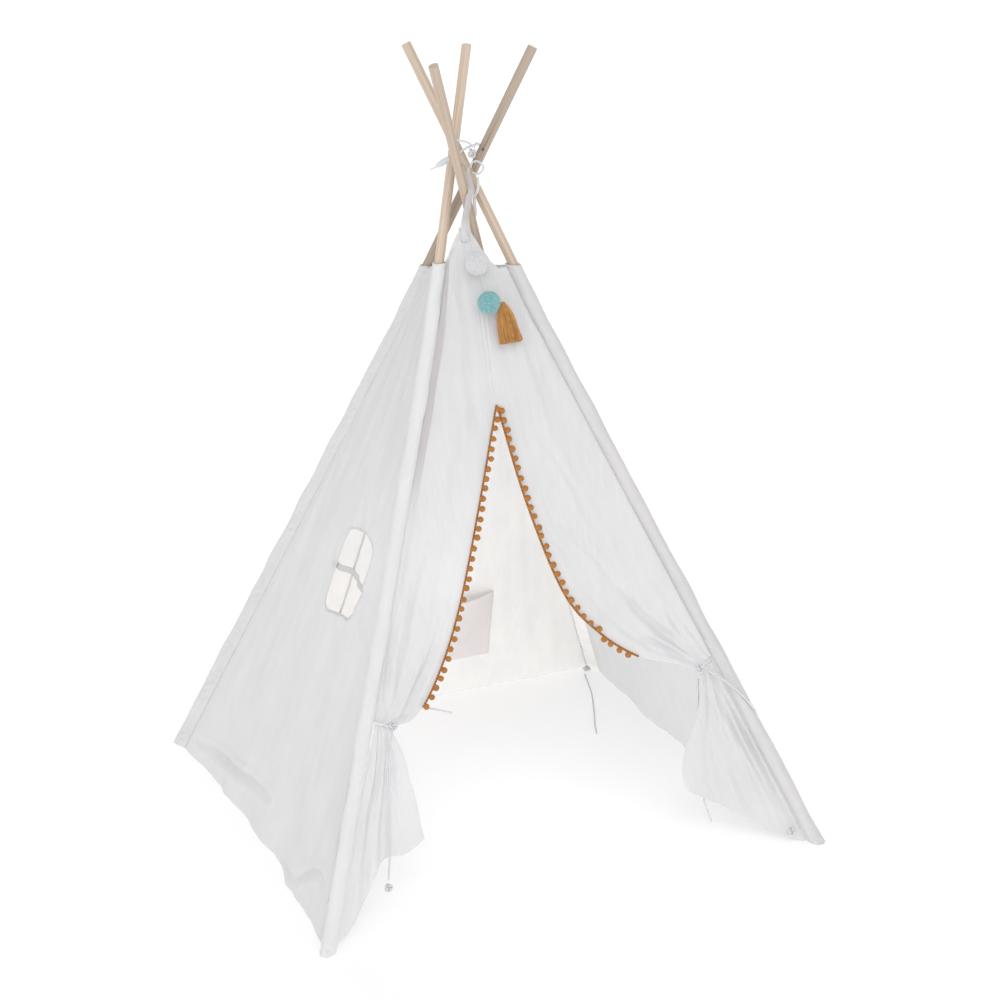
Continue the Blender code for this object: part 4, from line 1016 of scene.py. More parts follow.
def makeLeftWall():
    # the grid's points near the window's outline slide onto it, and the faces inside it go
    step = 1e-4
    points, uv, drape = wallGrid("left_wall")
    level, height = points[..., 1], points[..., 2]
    for _ in range(3):
        near = windowDistance(level, height)
        slopeY = (windowDistance(level + step, height) - near) / step
        slopeZ = (windowDistance(level, height + step) - near) / step
        size = np.maximum(slopeY**2 + slopeZ**2, 0.2)
        move = np.where(np.abs(near) < windowSetup["slide"], -near, 0.0)
        level = level + move * slopeY / size
        height = height + move * slopeZ / size
    points[..., 1], points[..., 2] = level, height
    near = windowDistance(level, height).reshape(-1)
    faces = gridFaces(*points.shape[:2])
    keep = near[faces].mean(axis=1) > 0.0
    used = np.unique(faces[keep])
    order = np.full(len(near), -1)
    order[used] = np.arange(len(used))
    piece = addPiece("leftWall", points.reshape(-1, 3)[used], order[faces[keep]], cottonSide,
                     uv.reshape(-1, 2)[used], drape=drape.reshape(-1, 2)[used])
    return layCloth(piece, "left_wall", "left_wall"), points


def makeWindowHem(grid):
    # a rolled hem round the window: a flattened tube along the outline
    setup = windowSetup
    angle = fullTurn(setup["hemPoints"])
    heading = np.stack([np.cos(angle), np.sin(angle)])
    centre = np.array(setup["centre"])[:, None]
    reach = np.full(angle.shape, 0.05)
    for _ in range(12):  # walk out to the outline along each direction
        reach = reach - windowDistance(*(centre + reach * heading)) * 0.9
    y, z = centre + reach * heading
    place = onWall("left_wall", y, z)
    place[:, 0] += wallPush("left_wall", y, z, grid)
    wobble = swell(heading.T * reach[:, None], 0.012, 3)
    path = place + np.array((1.0, 0, 0)) * 0.0004
    hem, _, _ = tubeGrid(path, setup["hemRadius"] * (1 + 0.10 * wobble), 10, (1.0, 0.0, 0.0), closed=True)
    hem[..., 0] = path[:, None, 0] + (hem[..., 0] - path[:, None, 0]) / 3
    piece = tubePiece("windowHem", path, setup["hemRadius"], cottonSide, (1.0, 0.0, 0.0), 10, closed=True)
    piece.data.vertices.foreach_set("co", hem.astype(np.float32).ravel())
    return settle(piece, wall="left_wall")


def wallPush(wall, level, height, grid):
    # how far the cloth stands from the straight wall at each place, read off the nearest points
    axis = 1 if wall in ("left_wall", "right_wall") else 0
    depth = 0 if axis == 1 else 1
    flat = grid.reshape(-1, 3)
    straight = onWall(wall, flat[:, axis], flat[:, 2])[:, depth]
    push = flat[:, depth] - straight
    away = flat[None, :, axis] - np.ravel(level)[:, None], flat[None, :, 2] - np.ravel(height)[:, None]
    gap = away[0] ** 2 + away[1] ** 2
    near = np.argpartition(gap, 4, axis=1)[:, :4]
    weight = 1 / (np.take_along_axis(gap, near, 1) + 1e-7)
    return ((push[near] * weight).sum(1) / weight.sum(1)).reshape(np.shape(level))


stripThickness = 0.0009
windowBars = {                 # each strip's route as Y and Z, its half width and how far in it lies
    "window_bar_level": (
        ((0.050, 0.555), (0.000, 0.561), (-0.045, 0.565), (-0.082, 0.564), (-0.120, 0.561), (-0.154, 0.558)),
        0.0060, 0.0018),
    "window_bar_upright": (
        ((-0.032, 0.661), (-0.034, 0.623), (-0.035, 0.573), (-0.040, 0.523), (-0.044, 0.463)),
        0.0045, 0.0070),
}


def makeWindowBars(grid):
    # two slack strips of folded cloth across the window, in the painted shade grey
    for node, (route, halfWidth, behind) in windowBars.items():
        count = 90
        middle = smoothCurve(route, count)
        slack = behind + 0.0025 * np.sin(np.linspace(0, np.pi, count))
        way = np.gradient(middle, axis=0)
        side = unit(np.column_stack([-way[:, 1], way[:, 0]])) * halfWidth
        share = np.linspace(-1, 1, 9)
        flat = middle[:, None] + side[:, None] * share[None, :, None]
        place = onWall("left_wall", flat[..., 0], flat[..., 1])
        push = wallPush("left_wall", middle[:, 0], middle[:, 1], grid)
        cup = 0.0010 * np.cos(share * np.pi / 2)[None] + 0.0004 * swell(flat, 0.03, 9)
        place[..., 0] += push[:, None] + slack[:, None] + cup
        piece = addPiece(camel(node), place, gridFaces(count, 9), cottonStripPaintedShade, flat)
        layCloth(piece, "left_wall", node, stripThickness)


leftWall, leftGrid = makeLeftWall()
windowHem = makeWindowHem(leftGrid)
makeWindowBars(leftGrid)
rightWall, _ = makeWall("right_wall", cottonSide)
backWall, backGrid = makeWall("back_wall", cottonBackPaintedLight, teepee["backPeak"])
print("side and back walls made")


# the front wall: two halves that part at the door; its edges run down from the apex as X and Z
door = {
    "left": (teepee["doorApex"], (-0.076, 0.729), (-0.154, 0.551), (-0.222, 0.436), (-0.283, 0.369)),
    "right": (teepee["doorApex"], (0.022, 0.722), (0.067, 0.548), (0.130, 0.463), (0.204, 0.409),
              (0.270, 0.386)),
    "trimEnd": {"left": 0.270, "right": 0.204},
    # the top edge from the gathered neck to the sleeve, as a share of the way and a height
    "top": {
        "left": ((0.0, 1.246), (0.126, 1.243), (0.24, 1.226), (0.37, 1.213), (0.63, 1.197), (1.0, 1.178)),
        "right": ((0.0, 1.246), (0.12, 1.246), (0.24, 1.232), (0.39, 1.207), (0.52, 1.190), (0.64, 1.175),
                  (0.80, 1.165), (1.0, 1.168)),
    },
}


def doorEdge(side, count):
    # from the apex down to the narrow neck at the tie
    along, out = ties["knot"][side]
    neck = tailAt("front_" + side, along + ties["neckGap"], out)
    return smoothCurve((*door[side], (neck[0], neck[2])), count)


def frontHalf(side):
    # a patch from the neck and the door's edge across to the sleeve; below the apex its folds
    # run down and draw together towards the tie
    setup = wallSetup["front_wall"]
    above, below, columns = setup["above"], setup["below"], setup["columns"]
    corner = "front_" + side
    edge = doorEdge(side, below + 1)[1:]
    middle = np.linspace(teepee["frontPeak"], teepee["doorApex"], above)
    free = np.vstack([middle, edge])
    free = onWall("front_wall", free[:, 0], free[:, 1])
    rows = len(free)
    v = np.linspace(0, 1, rows)
    a = np.linspace(0, 1, columns)
    tieHeight = poleAlong(corner, ties["knot"][side][0])[2]
    topHeight = wallTop(corner)
    sewn = wallEdge("front_wall", corner, topHeight + (tieHeight - topHeight) * v)
    top = free[0] + (sewn[0] - free[0]) * a[:, None]
    outline = np.array(door["top"][side])
    top[1:-1, 2] = np.interp(a, outline[:, 0], outline[:, 1])[1:-1]
    top[1:-1] = onWall("front_wall", top[1:-1, 0], top[1:-1, 2])
    bottom = free[-1] + (sewn[-1] - free[-1]) * a[:, None]
    points = coons(top, bottom, free, sewn)
    still = fadeEnds(a, 0.22, 0.12)
    doorShare = smoothStep((v - above / rows) / (1 - above / rows))[:, None]
    narrow = np.minimum(1, np.linalg.norm(sewn - free, axis=1) / 0.16)[:, None]
    gathered = setup["gathered"][side] * narrow * doorShare**3
    gathered = gathered * (np.sin(6 * np.pi * a + 0.6) + 0.3 * np.sin(15 * np.pi * a + 2))
    taut = setup["taut"] * np.sin(2 * np.pi * 2 * a + 1.0) * np.sin(np.pi * v)[:, None] * (1 - doorShare)
    belly = setup["belly"] * narrow * np.sin(np.pi * a) * np.sin(np.pi * doorShare)
    flat = points[..., [0, 2]]
    drape = fanned(flat)
    small = rippled(drape, setup["seed"] + (side == "right"))
    push = still * (gathered + taut - belly + small)
    push = push + creasePush(flat, setup["creases"][side]) * fadeEnds(a, 0.08, 0.04)
    push = push + creasePush(flat, setup["seam"])
    points = points - push[..., None] * np.array((0, 1, 0))
    # painted shade: a grey band on the left half beside the sleeve, where the cloth lies double and less
    # light comes through
    fromSeam = (1 - a) * np.linalg.norm(sewn - free, axis=1)[:, None]
    near = smoothStep((0.019 - fromSeam) / 0.004) * smoothStep((flat[..., 1] - 0.70) / 0.15)
    double = near * (side == "left")
    return points, flat * (1, teepee["wallSlant"]), np.concatenate([drape, double[..., None]], -1)


def makeFrontWall():
    # both halves in one piece, merged along the middle seam above the door
    points, faces, uvs, drapes, offset = [], [], [], [], 0
    for side in ("left", "right"):
        grid, uv, drape = frontHalf(side)
        if side == "left":
            grid, uv, drape = grid[:, ::-1], uv[:, ::-1], drape[:, ::-1]
        points.append(grid.reshape(-1, 3))
        uvs.append(uv.reshape(-1, 2))
        drapes.append(drape.reshape(-1, 3))
        faces.append(gridFaces(*grid.shape[:2]) + offset)
        offset += grid.shape[0] * grid.shape[1]
    piece = addPiece("frontWall", np.vstack(points), np.vstack(faces), cottonFront, np.vstack(uvs),
                     drape=np.vstack(drapes))
    bm = bmesh.new()
    bm.from_mesh(piece.data)
    bmesh.ops.remove_doubles(bm, verts=bm.verts, dist=0.00005)
    bm.to_mesh(piece.data)
    bm.free()
    return layCloth(piece, "front_wall", "front_wall")


frontWall = makeFrontWall()
print("front wall made")


# the loose lower ends of the door flaps, hanging from the ties
tails = {
    "left": {
        "free": ((0.384, 0.091), (0.345, 0.117), (0.277, 0.183), (0.244, 0.219)),
        "hem": ((0.244, 0.219), (0.206, 0.168), (0.186, 0.106), (0.105, 0.080), (0.036, 0.038),
                (0.022, 0.018)),
        "creases": (
            (((0.424, 0.046), (0.375, 0.0535), (0.301, 0.074), (0.208, 0.098)), 0.0045, 0.004),
            (((0.424, 0.052), (0.358, 0.071), (0.305, 0.102), (0.252, 0.147)), 0.0055, 0.0035),
            (((0.424, 0.034), (0.353, 0.040), (0.297, 0.050), (0.200, 0.062)), 0.0045, 0.0035)),
    },
    "right": {
        "free": ((0.412, 0.065), (0.356, 0.101), (0.306, 0.147), (0.250, 0.182), (0.212, 0.186)),
        "hem": ((0.212, 0.186), (0.172, 0.154), (0.126, 0.117), (0.084, 0.087), (0.048, 0.058),
                (0.022, 0.036), (0.012, 0.018)),
        "creases": (
            (((0.424, 0.034), (0.387, 0.030), (0.315, 0.028), (0.205, 0.028), (0.131, 0.030),
              (0.050, 0.026)), 0.005, 0.006),
            (((0.410, 0.042), (0.333, 0.044), (0.246, 0.044), (0.168, 0.043), (0.100, 0.036)), 0.005, 0.004),
            (((0.410, 0.050), (0.369, 0.057), (0.281, 0.075), (0.192, 0.090), (0.110, 0.094)), 0.010, 0.004)),
    },
    "rows": 150,
    "columns": 110,
    "foldDepth": 0.0048,
    "ripple": 0.0010,
}


def makeTail(side):
    # a patch between the sewn edge, the free edge and the hem; its folds fan out from the tie
    corner = "front_" + side
    rows, columns = tails["rows"], tails["columns"]
    along, out = ties["knot"][side]
    free = smoothCurve(((along - ties["neckGap"], out - 0.002), *tails[side]["free"]), rows)
    hem = smoothCurve(tails[side]["hem"], columns)
    a = np.linspace(0, 1, columns)
    v = np.linspace(0, 1, rows)
    sewn = np.column_stack([np.linspace(along, hem[-1][0], rows), np.full(rows, hem[-1][1])])
    top = free[0] + (sewn[0] - free[0]) * a[:, None]
    place = coons(top, hem, free, sewn)
    still = fadeEnds(a, 0.15, 0.15)
    narrow = np.minimum(1, (free[:, 1] - sewn[:, 1]) / 0.10)[:, None]
    folds = np.sin(5 * np.pi * a + 0.4) + 0.3 * np.sin(13 * np.pi * a)
    folds = tails["foldDepth"] * narrow * folds * still * (1 - 0.4 * v[:, None])
    small = swell(place * (0.25, 1), 0.035, 61 + (side == "right")) * tails["ripple"] * still
    creases = creasePush(place, tails[side]["creases"]) * fadeEnds(a, 0.05, 0.05)
    grid = tailAt(corner, place[..., 0], place[..., 1], folds + small + creases)
    grid[..., 2] = np.maximum(grid[..., 2], teepee["hemHeight"])
    # painted light and shade: each tail gets its own lighter or greyer copy of the cloth
    cotton = cottonMaterial("plainCottonTailPaintedLight_" + side, cottonLook["tail"][side], 0.06)
    piece = addPiece("flapTail" + side.title(), grid, gridFaces(rows, columns), cotton, place[..., ::-1])
    thicken(flipOut(piece, (0, -1, 0)), teepee["cloth"])
    return settle(piece, "flap_tail_" + side, blend=tailHinge(side))


flapTails = [makeTail("left"), makeTail("right")]
print("flap tails made")


# the patch pocket inside the back wall, slack at its mouth
pocketSetup = {
    "x": (0.020, 0.220),
    "z": (0.107, 0.296),
    "slack": 0.022,            # how far its mouth stands off
    "clear": 0.0026,           # how far in from the wall it lies at its seams
    "ripple": 0.0008,
    "rows": 60,
    "columns": 64,
}


def makePocket():
    # a patch of the wall, pushed in by a sine across it that grows up to the mouth
    setup = pocketSetup
    u = np.linspace(0, 1, setup["columns"])
    v = np.linspace(0, 1, setup["rows"])[:, None]
    x = setup["x"][0] + (setup["x"][1] - setup["x"][0]) * u + (v - 0.5) * (0.008 - 0.024 * u)
    drop = 0.010 * (1 - u) * v + 0.006 * np.sin(np.pi * u) * v
    z = setup["z"][0] + (setup["z"][1] - setup["z"][0]) * v - drop
    points = onWall("back_wall", x, z)
    push = wallPush("back_wall", x, z, backGrid[::2, ::2])
    slack = setup["slack"] * np.sin(np.pi * u) ** 0.8 * smoothStep(v * 1.1) ** 0.8
    place = together(x, z)
    ripple = swell(place, 0.05, 71) * setup["ripple"] * np.sin(np.pi * u)
    points[..., 1] += push - setup["clear"] - slack + ripple
    piece = addPiece("backPocket", points, gridFaces(setup["rows"], setup["columns"]), cottonPocketPaintedLight, place)
    thicken(flipOut(piece, (0, -1, 0)), teepee["cloth"])
    return settle(piece, "back_pocket", wall="back_wall")


backPocket = makePocket()

# the door's edging: a twisted braid with small pompoms sewn on at an even step
trimSetup = {
    "braidRadius": {"left": 0.0019, "right": 0.0023},
    "braidClear": 0.0008,      # the braid's gap to the cloth
    "start": {"left": 0.001, "right": 0.005},   # how far below the apex it begins
    "pompomRadius": 0.0062,
    "step": 0.0205,
    "stepSpread": 0.0012,
    "aside": (0.0046, -0.0014, 0.0022),   # a pompom's usual way to the braid's side, and its spread
    "proud": 0.0032,
    "changeSide": 0.137,       # past this place they hang on the other side
}
braidYarn = yarnMaterial("acrylicBraid", "#7c4c19", "#b07536", 500.0, 0.1)
pompomYarn = yarnMaterial("acrylicPompom", "#8f5a20", "#c08039", 500.0, 0.1)


def makeTrim(side):
    # a braid along the door's edge, and balls beside it at an even step with a random shift
    setup = trimSetup
    edge = doorEdge(side, 400)
    below = edge[:, 1] < teepee["doorApex"][1] - setup["start"][side]
    edge = edge[below & (np.abs(edge[:, 0]) < door["trimEnd"][side])]
    place = onWall("front_wall", edge[:, 0], edge[:, 1])
    radius = setup["braidRadius"][side]
    place[:, 1] -= teepee["cloth"] / 2 + radius + setup["braidClear"]
    run = runAlong(place)
    path = smoothCurve(place[::8], int(run[-1] / 0.0012))
    braid = tubePiece("doorBraid" + side.title(), path, radius, braidYarn, (0, -1, 0), 12,
                      strands=2, lay=0.006, depth=0.22)
    places = np.arange(0.006, run[-1] - 0.004, setup["step"])
    rng = np.random.default_rng(81 + (side == "right"))
    places = places + rng.normal(0, setup["stepSpread"], len(places))
    centres = readAt(places, run, place)
    way = unit(readAt(places, run, np.gradient(place, run, axis=0)))
    aside = unit(np.cross((0, -1, 0), way))
    aside = np.where((aside[:, 0] > 0)[:, None], aside, -aside)
    aside = np.where((centres[:, 0] > setup["changeSide"])[:, None], -aside, aside)
    usual, least, most = setup["aside"]
    out = usual + rng.uniform(least, most, len(places))
    centres = centres + aside * out[:, None] - np.array((0, setup["proud"], 0))
    balls = makeBalls("doorPompoms" + side.title(), centres, setup["pompomRadius"], pompomYarn, rng)
    settle(braid, wall="front_wall")
    settle(balls, "door_trim_" + side, wall="front_wall")
    return braid, balls


def sphereGrid(rows, columns, start):
    # directions over a sphere, from near its top to near its bottom, and the faces that close it
    theta = np.linspace(start, np.pi - start, rows)[:, None]
    phi = fullTurn(columns)[None]
    ways = together(np.sin(theta) * np.cos(phi), np.sin(theta) * np.sin(phi), np.cos(theta))
    return ways, cappedFaces(rows, columns)


def makeBalls(name, centres, radius, material, rng):
    # small uneven balls: a sphere whose reach swells at random, turned a new way for each
    lat, lon = 12, 18
    ways, rings = sphereGrid(lat, lon, 0.12)
    points, faces = [], []
    for index, centre in enumerate(centres):
        spin = np.linalg.qr(rng.normal(size=(3, 3)))[0]
        spin *= np.sign(np.linalg.det(spin))
        size = radius * rng.uniform(0.93, 1.05)
        reach = size * (1 + 0.07 * swell(ways * size, 0.0035, int(rng.integers(1e6))))
        points.append(((ways * reach[..., None]) @ spin + centre).reshape(-1, 3))
        faces += [[k + index * lat * lon for k in face] for face in rings]
    piece = addPiece(name, np.vstack(points), faces, material)
    cleanNormals(piece)
    return piece


trims = [makeTrim("left"), makeTrim("right")]
print("pocket and trim made")


# the lashing at the crossing
lashing = {                    # routes as in the solids
    "turns": [
        (0.0395, 0.0006, 1.3969), (0.0467, 0.0132, 1.3970), (0.0504, 0.0197, 1.3975),
        (0.0480, 0.0285, 1.4000), (0.0400, 0.0290, 1.4040), (0.0310, 0.0160, 1.4075),
        (0.0262, -0.0090, 1.4098), (0.0159, -0.0067, 1.4076), (0.0059, -0.0025, 1.4039),
        (-0.0034, 0.0015, 1.3985),
        (-0.0150, -0.0060, 1.3945), (-0.0245, -0.0100, 1.3980), (-0.0262, -0.0080, 1.4075),
        (-0.0220, 0.0000, 1.4160), (-0.0145, 0.0055, 1.4186), (-0.0080, -0.0010, 1.4172),
        (0.0010, -0.0060, 1.4150), (0.0110, -0.0112, 1.4087), (0.0164, -0.0134, 1.4035)],
    "bowRight": [
        (0.0075, -0.0095, 1.3640), (0.0100, -0.0127, 1.3743), (0.0180, -0.0185, 1.3771),
        (0.0262, -0.0220, 1.3719), (0.0305, -0.0216, 1.3639), (0.0274, -0.0181, 1.3550),
        (0.0199, -0.0150, 1.3511), (0.0109, -0.0111, 1.3540)],
    "bowLeft": [
        (-0.0295, 0.0125, 1.3821), (-0.0330, 0.0140, 1.3800), (-0.0405, 0.0172, 1.3750),
        (-0.0480, 0.0204, 1.3700), (-0.0520, 0.0221, 1.3672), (-0.0535, 0.0227, 1.3660),
        (-0.0590, 0.0250, 1.3632), (-0.0650, 0.0276, 1.3609)],
    "bowLeftWidths": (1.8, 2.9, 3.3, 3.2, 2.4, 0.8, 0.7, 0.6),   # at its places, in cord radii
    "knot": ((0.0130, -0.0055, 1.3920), 0.0030, (math.radians(80), 0.0, 0.4)),
}


def makeLashing():
    # the turns round the poles, the knot, a thin bow to the right and a thick bow end to the left
    rad, lay = cordSetup["radius"], cordSetup["lay"]
    turns = smoothCurve(lashing["turns"], 320)
    bow = smoothCurve(lashing["bowRight"], 110)
    left = smoothCurve(lashing["bowLeft"], 60)
    widths = np.interp(np.linspace(0, 7, 60), np.arange(8), lashing["bowLeftWidths"]) * rad
    towards = (-0.3, -1.0, 0.1)
    pieces = [tubePiece("lashingTurns", turns, rad, cordCotton, (0.1, 0.2, 1.0), 12, 3, lay),
              makeKnot("lashingKnot", *lashing["knot"]),
              tubePiece("lashingBowRight", bow, rad, cordCotton, towards, 12, 3, lay),
              tubePiece("lashingBowLeft", left, widths, cordCotton, towards, 16, 2, 0.03, depth=0.10)]
    nodes = "lashing_turns", "lashing_knot", "lashing_bow_right", "lashing_bow_left"
    for piece, node in zip(pieces, nodes):
        settle(piece, node, "lashing")


makeLashing()

hangerThickness = 0.0010
hangers = {                    # each strip's wall, half width and route
    "front": ("front_wall", 0.0070, [
        (-0.0070, -0.0215, 1.2180), (-0.0080, -0.0160, 1.2400), (-0.0100, -0.0220, 1.2680),
        (-0.0090, -0.0330, 1.2960), (-0.0080, -0.0380, 1.3120), (-0.0035, -0.0385, 1.3240),
        (-0.0034, -0.0300, 1.3385), (-0.0033, -0.0214, 1.3530), (0.0000, -0.0185, 1.3660)]),
    "back": ("back_wall", 0.0035, [
        (0.0060, 0.0430, 1.2290), (0.0160, 0.0240, 1.2460), (0.0204, 0.0038, 1.2660),
        (0.0150, -0.0090, 1.2880), (0.0105, -0.0195, 1.3060), (0.0146, -0.0290, 1.3246),
        (0.0187, -0.0215, 1.3460)]),
}


def makeHangers():
    # folded strips of the same cloth from the walls' peaks up to the lashing; the front one takes
    # painted shade that deepens towards the top
    for side, (wall, halfWidth, route) in hangers.items():
        count = 90
        middle = smoothCurve(route, count)
        share = np.linspace(-1, 1, 11)
        cup = 0.0009 * np.cos(share * np.pi)[None] + 0.0005 * swell(middle, 0.02, 5)[:, None]
        t = np.linspace(0, 1, count)
        wide = halfWidth * (1 + 0.7 * (1 - smoothStep(2.2 * t)) - 0.5 * smoothStep(5 * t - 4))[:, None, None]
        points = middle[:, None] + np.array((1.0, 0, 0)) * wide * share[None, :, None]
        points = points + cup[..., None] * np.array((0, -1.0, 0))
        uv = together(share[None] * halfWidth, np.linspace(0, 0.12, count)[:, None])
        # painted shade: the front strip is mixed towards the grey, more of it higher up
        tone = np.broadcast_to(smoothStep(2.5 * t - 0.2)[:, None, None], (count, 11, 1))
        drape = np.concatenate([uv, tone * (1.4 if side == "front" else 0)], -1)
        piece = addPiece("hanger" + side.title(), points, gridFaces(count, 11), cottonFront, uv, drape=drape)
        thicken(flipOut(piece, (0, -1, 0)), hangerThickness)
        settle(piece, side + "_hanger", wall)


makeHangers()

# the ornament: thread, white pompom, thread, teal pompom, mustard tassel
pendant = {                    # the pompoms' centres and radii, the tassel's two ends
    "pivot": (-0.013, -0.024, 1.236),
    "white": ((-0.006, -0.067, 1.182), 0.0250),
    "teal": ((0.005, -0.096, 1.106), 0.0235),
    "tuftStep": 0.0019,
    "tuftStops": (0.80, 0.93, 0.985, 1.0),   # each yarn end's rings, as shares of its length
    "tuftWidths": (0.0011, 0.0012, 0.0009, 0.0002),
    "core": (0.90, 0.015),     # the soft core's share of the radius, and its unevenness
    "tasselHead": (0.036, -0.091, 1.103),
    "tasselFoot": (0.041, -0.121, 1.026),
    "tasselStrands": 300,
    "tasselWide": (0.0040, 0.0225),   # half its width at the head, and what it gains
    "tasselDeep": (0.0036, 0.0050),
    "strandRadius": 0.00075,
    "threadRadius": 0.0006,
}


def makeFluffyBall(name, centre, radius, material, seed):
    # yarn ends stand on a soft core: each is a blunt four-sided spike along its own direction,
    # and the directions spread evenly by the golden angle
    rng = np.random.default_rng(seed)
    count = int(4 * math.pi * radius**2 / pendant["tuftStep"] ** 2)
    k = np.arange(count) + 0.5
    polar = np.arccos(1 - 2 * k / count)
    turn = np.pi * (1 + 5**0.5) * k
    ways = np.stack([np.sin(polar) * np.cos(turn), np.sin(polar) * np.sin(turn), np.cos(polar)], -1)
    ways = unit(ways + rng.normal(0, 0.03, ways.shape))
    side = unit(np.cross(ways, unit(rng.normal(size=ways.shape))))
    height = radius * rng.uniform(0.955, 1.0, count)
    stops, widths = np.array(pendant["tuftStops"])[:, None], np.array(pendant["tuftWidths"])
    lean = unit(ways + rng.normal(0, 0.10, ways.shape))
    axis = ways[:, None] * stops + (lean - ways)[:, None] * (stops - stops[0])
    ring = ringOf(4, side, np.cross(ways, side))
    points = axis[:, :, None] * height[:, None, None, None] + ring[:, None] * widths[:, None, None]
    points = points.reshape(-1, 3) + np.array(centre)
    spike = np.vstack([gridFaces(4, 4, wrap=True), [[15, 14, 13, 12]]])
    faces = (spike[None] + (np.arange(count) * 16)[:, None, None]).reshape(-1, 4)
    ways, coreFaces = sphereGrid(40, 64, 0.02)
    ball, (share, uneven) = ways * radius, pendant["core"]
    core = ball * (share + uneven * swell(ball, 0.006, seed + 1))[..., None] + np.array(centre)
    allFaces = faces.tolist() + [[i + len(points) for i in face] for face in coreFaces]
    piece = addPiece(name, np.vstack([points, core.reshape(-1, 3)]), allFaces, material)
    cleanNormals(piece)
    return piece


def makeTassel():
    # yarn strands from a tight head that spread to a wide flat foot, each with its own soft waves
    rng = np.random.default_rng(97)
    head, foot = np.array(pendant["tasselHead"]), np.array(pendant["tasselFoot"])
    down = unit(foot - head)
    across = unit(np.cross(down, (0, -0.93, 0.37)))
    proud = np.cross(down, across)
    count, rows, sides = pendant["tasselStrands"], 26, 5
    spread = np.sqrt(rng.uniform(0, 1, count)) ** 0.8
    heading = rng.uniform(0, 2 * np.pi, count)
    x, y = spread * np.cos(heading), spread * np.sin(heading)
    t = np.linspace(0, 1, rows)[None]
    wide = pendant["tasselWide"][0] + pendant["tasselWide"][1] * (1 - np.exp(-2.6 * t))
    deep = pendant["tasselDeep"][0] + pendant["tasselDeep"][1] * t
    length = np.linalg.norm(foot - head) * rng.uniform(0.965, 1.02, count)[:, None]
    wave = rng.uniform(0.0003, 0.0013, (count, 2))
    phase = rng.uniform(0, 2 * np.pi, (count, 4))
    swayX = wave[:, :1] * np.sin(t * 9 + phase[:, :1]) * t + 0.0003 * np.sin(t * 31 + phase[:, 1:2])
    swayY = wave[:, 1:] * np.sin(t * 8 + phase[:, 2:3]) * t + 0.0003 * np.sin(t * 29 + phase[:, 3:4])
    path = (head + (t * length)[..., None] * down + (x[:, None] * wide + swayX)[..., None] * across
            + (y[:, None] * deep + swayY)[..., None] * proud)
    points = path[:, :, None] + ringOf(sides, across, proud) * pendant["strandRadius"]
    faces = [[i + k * rows * sides for i in face] for k in range(count) for face in cappedFaces(rows, sides)]
    tones = rng.uniform(0, 1, count)[:, None, None, None] * np.ones((1, rows, sides, 3))
    piece = addPiece("tassel", points, faces, tasselMaterial(), attributes={"strand": tones.reshape(-1, 3)})
    cleanNormals(piece)
    return piece


def tasselMaterial():
    # mercerised cotton yarn: each strand is a little lighter or deeper than the next
    material, tree, shader = newMaterial("mustardYarn")
    strand = addNode(tree, "ShaderNodeAttribute", attribute_name="strand")
    coords = addNode(tree, "ShaderNodeTexCoord")
    fibres = addNode(tree, "ShaderNodeTexNoise", {
        "Vector": coords.outputs["Object"], "Scale": 800.0, "Detail": 2.0})
    tone = addNode(tree, "ShaderNodeMix", {
        0: strand.outputs["Fac"], 6: linear("#8d5a1e"), 7: linear("#d0934c")}, data_type="RGBA")
    tone = layTones(tree, tone.outputs[2], (fibres, 0.4, 0.9, linear("#dda762")))
    feed(tree, shader, {"Base Color": tone, "Roughness": 0.7, "Sheen Weight": 0.2})
    return material


def makePendant():
    white, whiteRadius = np.array(pendant["white"][0]), pendant["white"][1]
    teal, tealRadius = np.array(pendant["teal"][0]), pendant["teal"][1]
    whiteYarn = yarnMaterial("whiteAcrylicYarn", "#cdced0", "#e9e9ea", 300.0, 0.4)
    tealYarn = yarnMaterial("tealAcrylicYarn", "#5fa3ab", "#9ccbcc", 260.0, 0.8)
    balls = [makeFluffyBall("pompomWhite", white, whiteRadius, whiteYarn, 7),
             makeFluffyBall("pompomTeal", teal, tealRadius, tealYarn, 8)]
    settle(balls[0], "pompom_white", "pendant")
    settle(balls[1], "pompom_teal", "pendant_end")
    settle(makeTassel(), "tassel", "pendant_end")
    start, apart = np.array(pendant["pivot"]), unit(teal - white)
    above = white + unit(start - white) * whiteRadius * 0.97
    upper = smoothCurve([start, (start + above) / 2 + (0, -0.001, 0), above], 40)
    lower = np.linspace(white + apart * whiteRadius * 0.97, teal - apart * tealRadius * 0.97, 30)
    threads = {"pendant_thread_upper": ("pendant", upper), "pendant_thread_lower": ("pendant_end", lower)}
    for node, (body, path) in threads.items():
        thread = tubePiece(camel(node), path, pendant["threadRadius"], cordCotton, (1.0, 0.1, 0.1), 8,
                           strands=2, lay=0.004)
        settle(thread, node, body)


makePendant()
print("lashing, hangers and ornament made")

declareSheet(leftWall)
declareSheet(rightWall)
declareSheet(backWall)
declareSheet(frontWall)
declareSheet(flapTails[0])
declareSheet(flapTails[1])
declareSheet(backPocket)


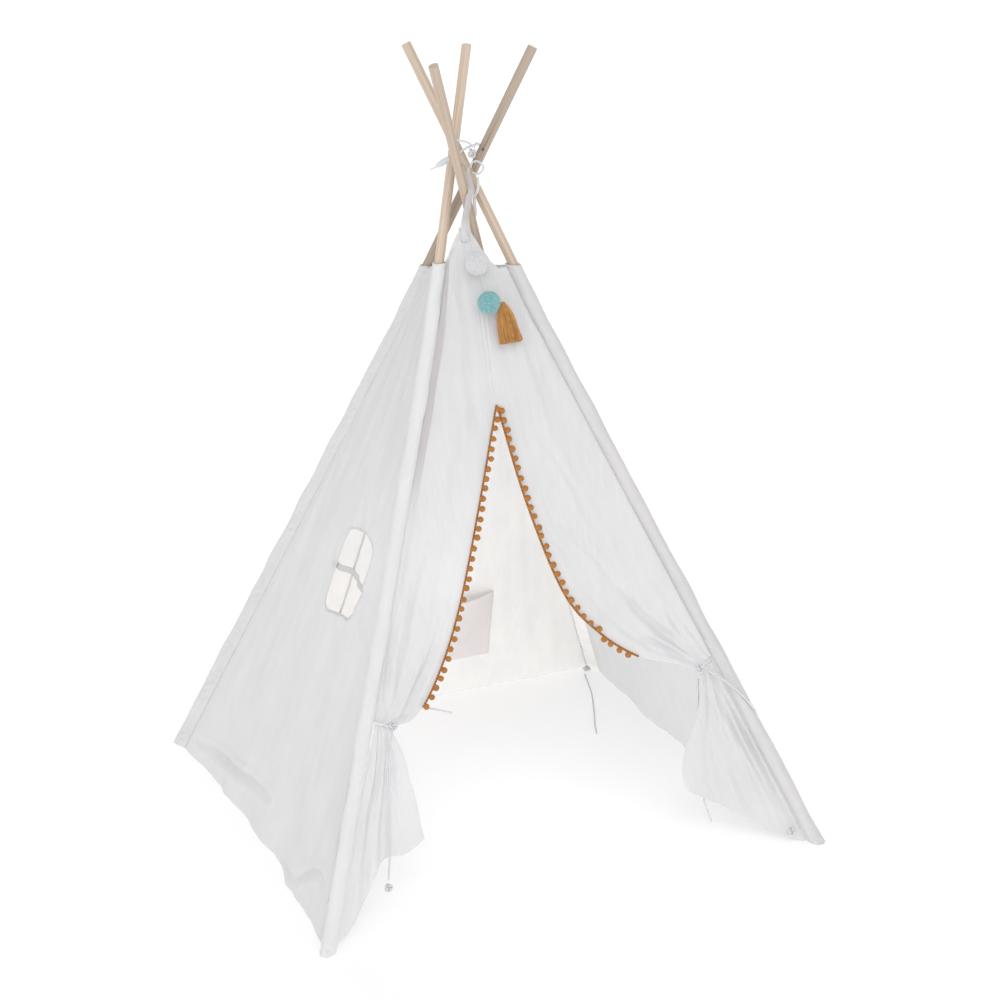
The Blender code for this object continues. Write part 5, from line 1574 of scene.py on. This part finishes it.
# the room: a plain white floor that keeps the shadow, and soft lights
room = {
    "floorSize": 60.0,
    "floor": "#dcdcdc",
    "floorSeen": 0.32,         # a little glow that the camera sees, so that the bare floor is white
    "floorGlow": 0.66,         # the studio's lit floor for all else, whose light fills the inside
    "worldLight": 0.62,
    "suns": {                  # where each soft light comes from, its strength and its spread
        "key": ((-0.6, -4.3, 3.6), 0.95, 55),
        "fill": ((-4.0, -1.8, 2.4), 0.47, 60),
        "back": ((2.6, 3.7, 2.0), 0.76, 60)},
    "inside": ((-0.13, -0.16, 0.55), 1.9, 0.28),   # a soft lamp in the teepee: place, watts, radius
}


def makeFloor():
    half = room["floorSize"] / 2
    points = np.array([(-half, -half, 0), (half, -half, 0), (half, half, 0), (-half, half, 0)], float)
    points[:, 2] = -0.0004
    material, tree, shader = newMaterial("paperFloor")
    rays = addNode(tree, "ShaderNodeLightPath")
    glow = addNode(tree, "ShaderNodeMapRange", {
        "Value": rays.outputs["Is Camera Ray"], "To Min": room["floorGlow"], "To Max": room["floorSeen"]})
    feed(tree, shader, {
        "Base Color": linear(room["floor"]), "Roughness": 0.9, "Emission Color": (1, 1, 1, 1),
        "Emission Strength": glow.outputs["Result"]})
    floor = addPiece("floor", points, [[0, 1, 2, 3]], material, smooth=False)


def addLamp(name, kind, place, power):
    data = bpy.data.lights.new(name, kind)
    data.energy = power
    lamp = addObject(name, data)
    lamp.location = place
    return lamp


def makeLights():
    world = bpy.data.worlds.new("world")
    bpy.context.scene.world = world
    world.use_nodes = True
    tree = world.node_tree
    rays = addNode(tree, "ShaderNodeLightPath")
    seen = addNode(tree, "ShaderNodeMath", {
        0: rays.outputs["Is Camera Ray"], 1: rays.outputs["Is Glossy Ray"]}, operation="MAXIMUM")
    strength = addNode(tree, "ShaderNodeMapRange", {
        "Value": seen.outputs[0], "To Min": room["worldLight"], "To Max": 1.0})
    feed(tree, tree.nodes["Background"], {"Color": (1, 1, 1, 1), "Strength": strength.outputs["Result"]})
    for name, (place, power, spread) in room["suns"].items():
        lamp = addLamp(name, "SUN", place, power)
        lamp.data.angle = math.radians(spread)
        lamp.rotation_euler = (-Vector(place)).to_track_quat("-Z", "Y").to_euler()
    place, power, radius = room["inside"]
    addLamp("inside", "POINT", place, power).data.shadow_soft_size = radius


makeFloor()
makeLights()
print("scene ready")
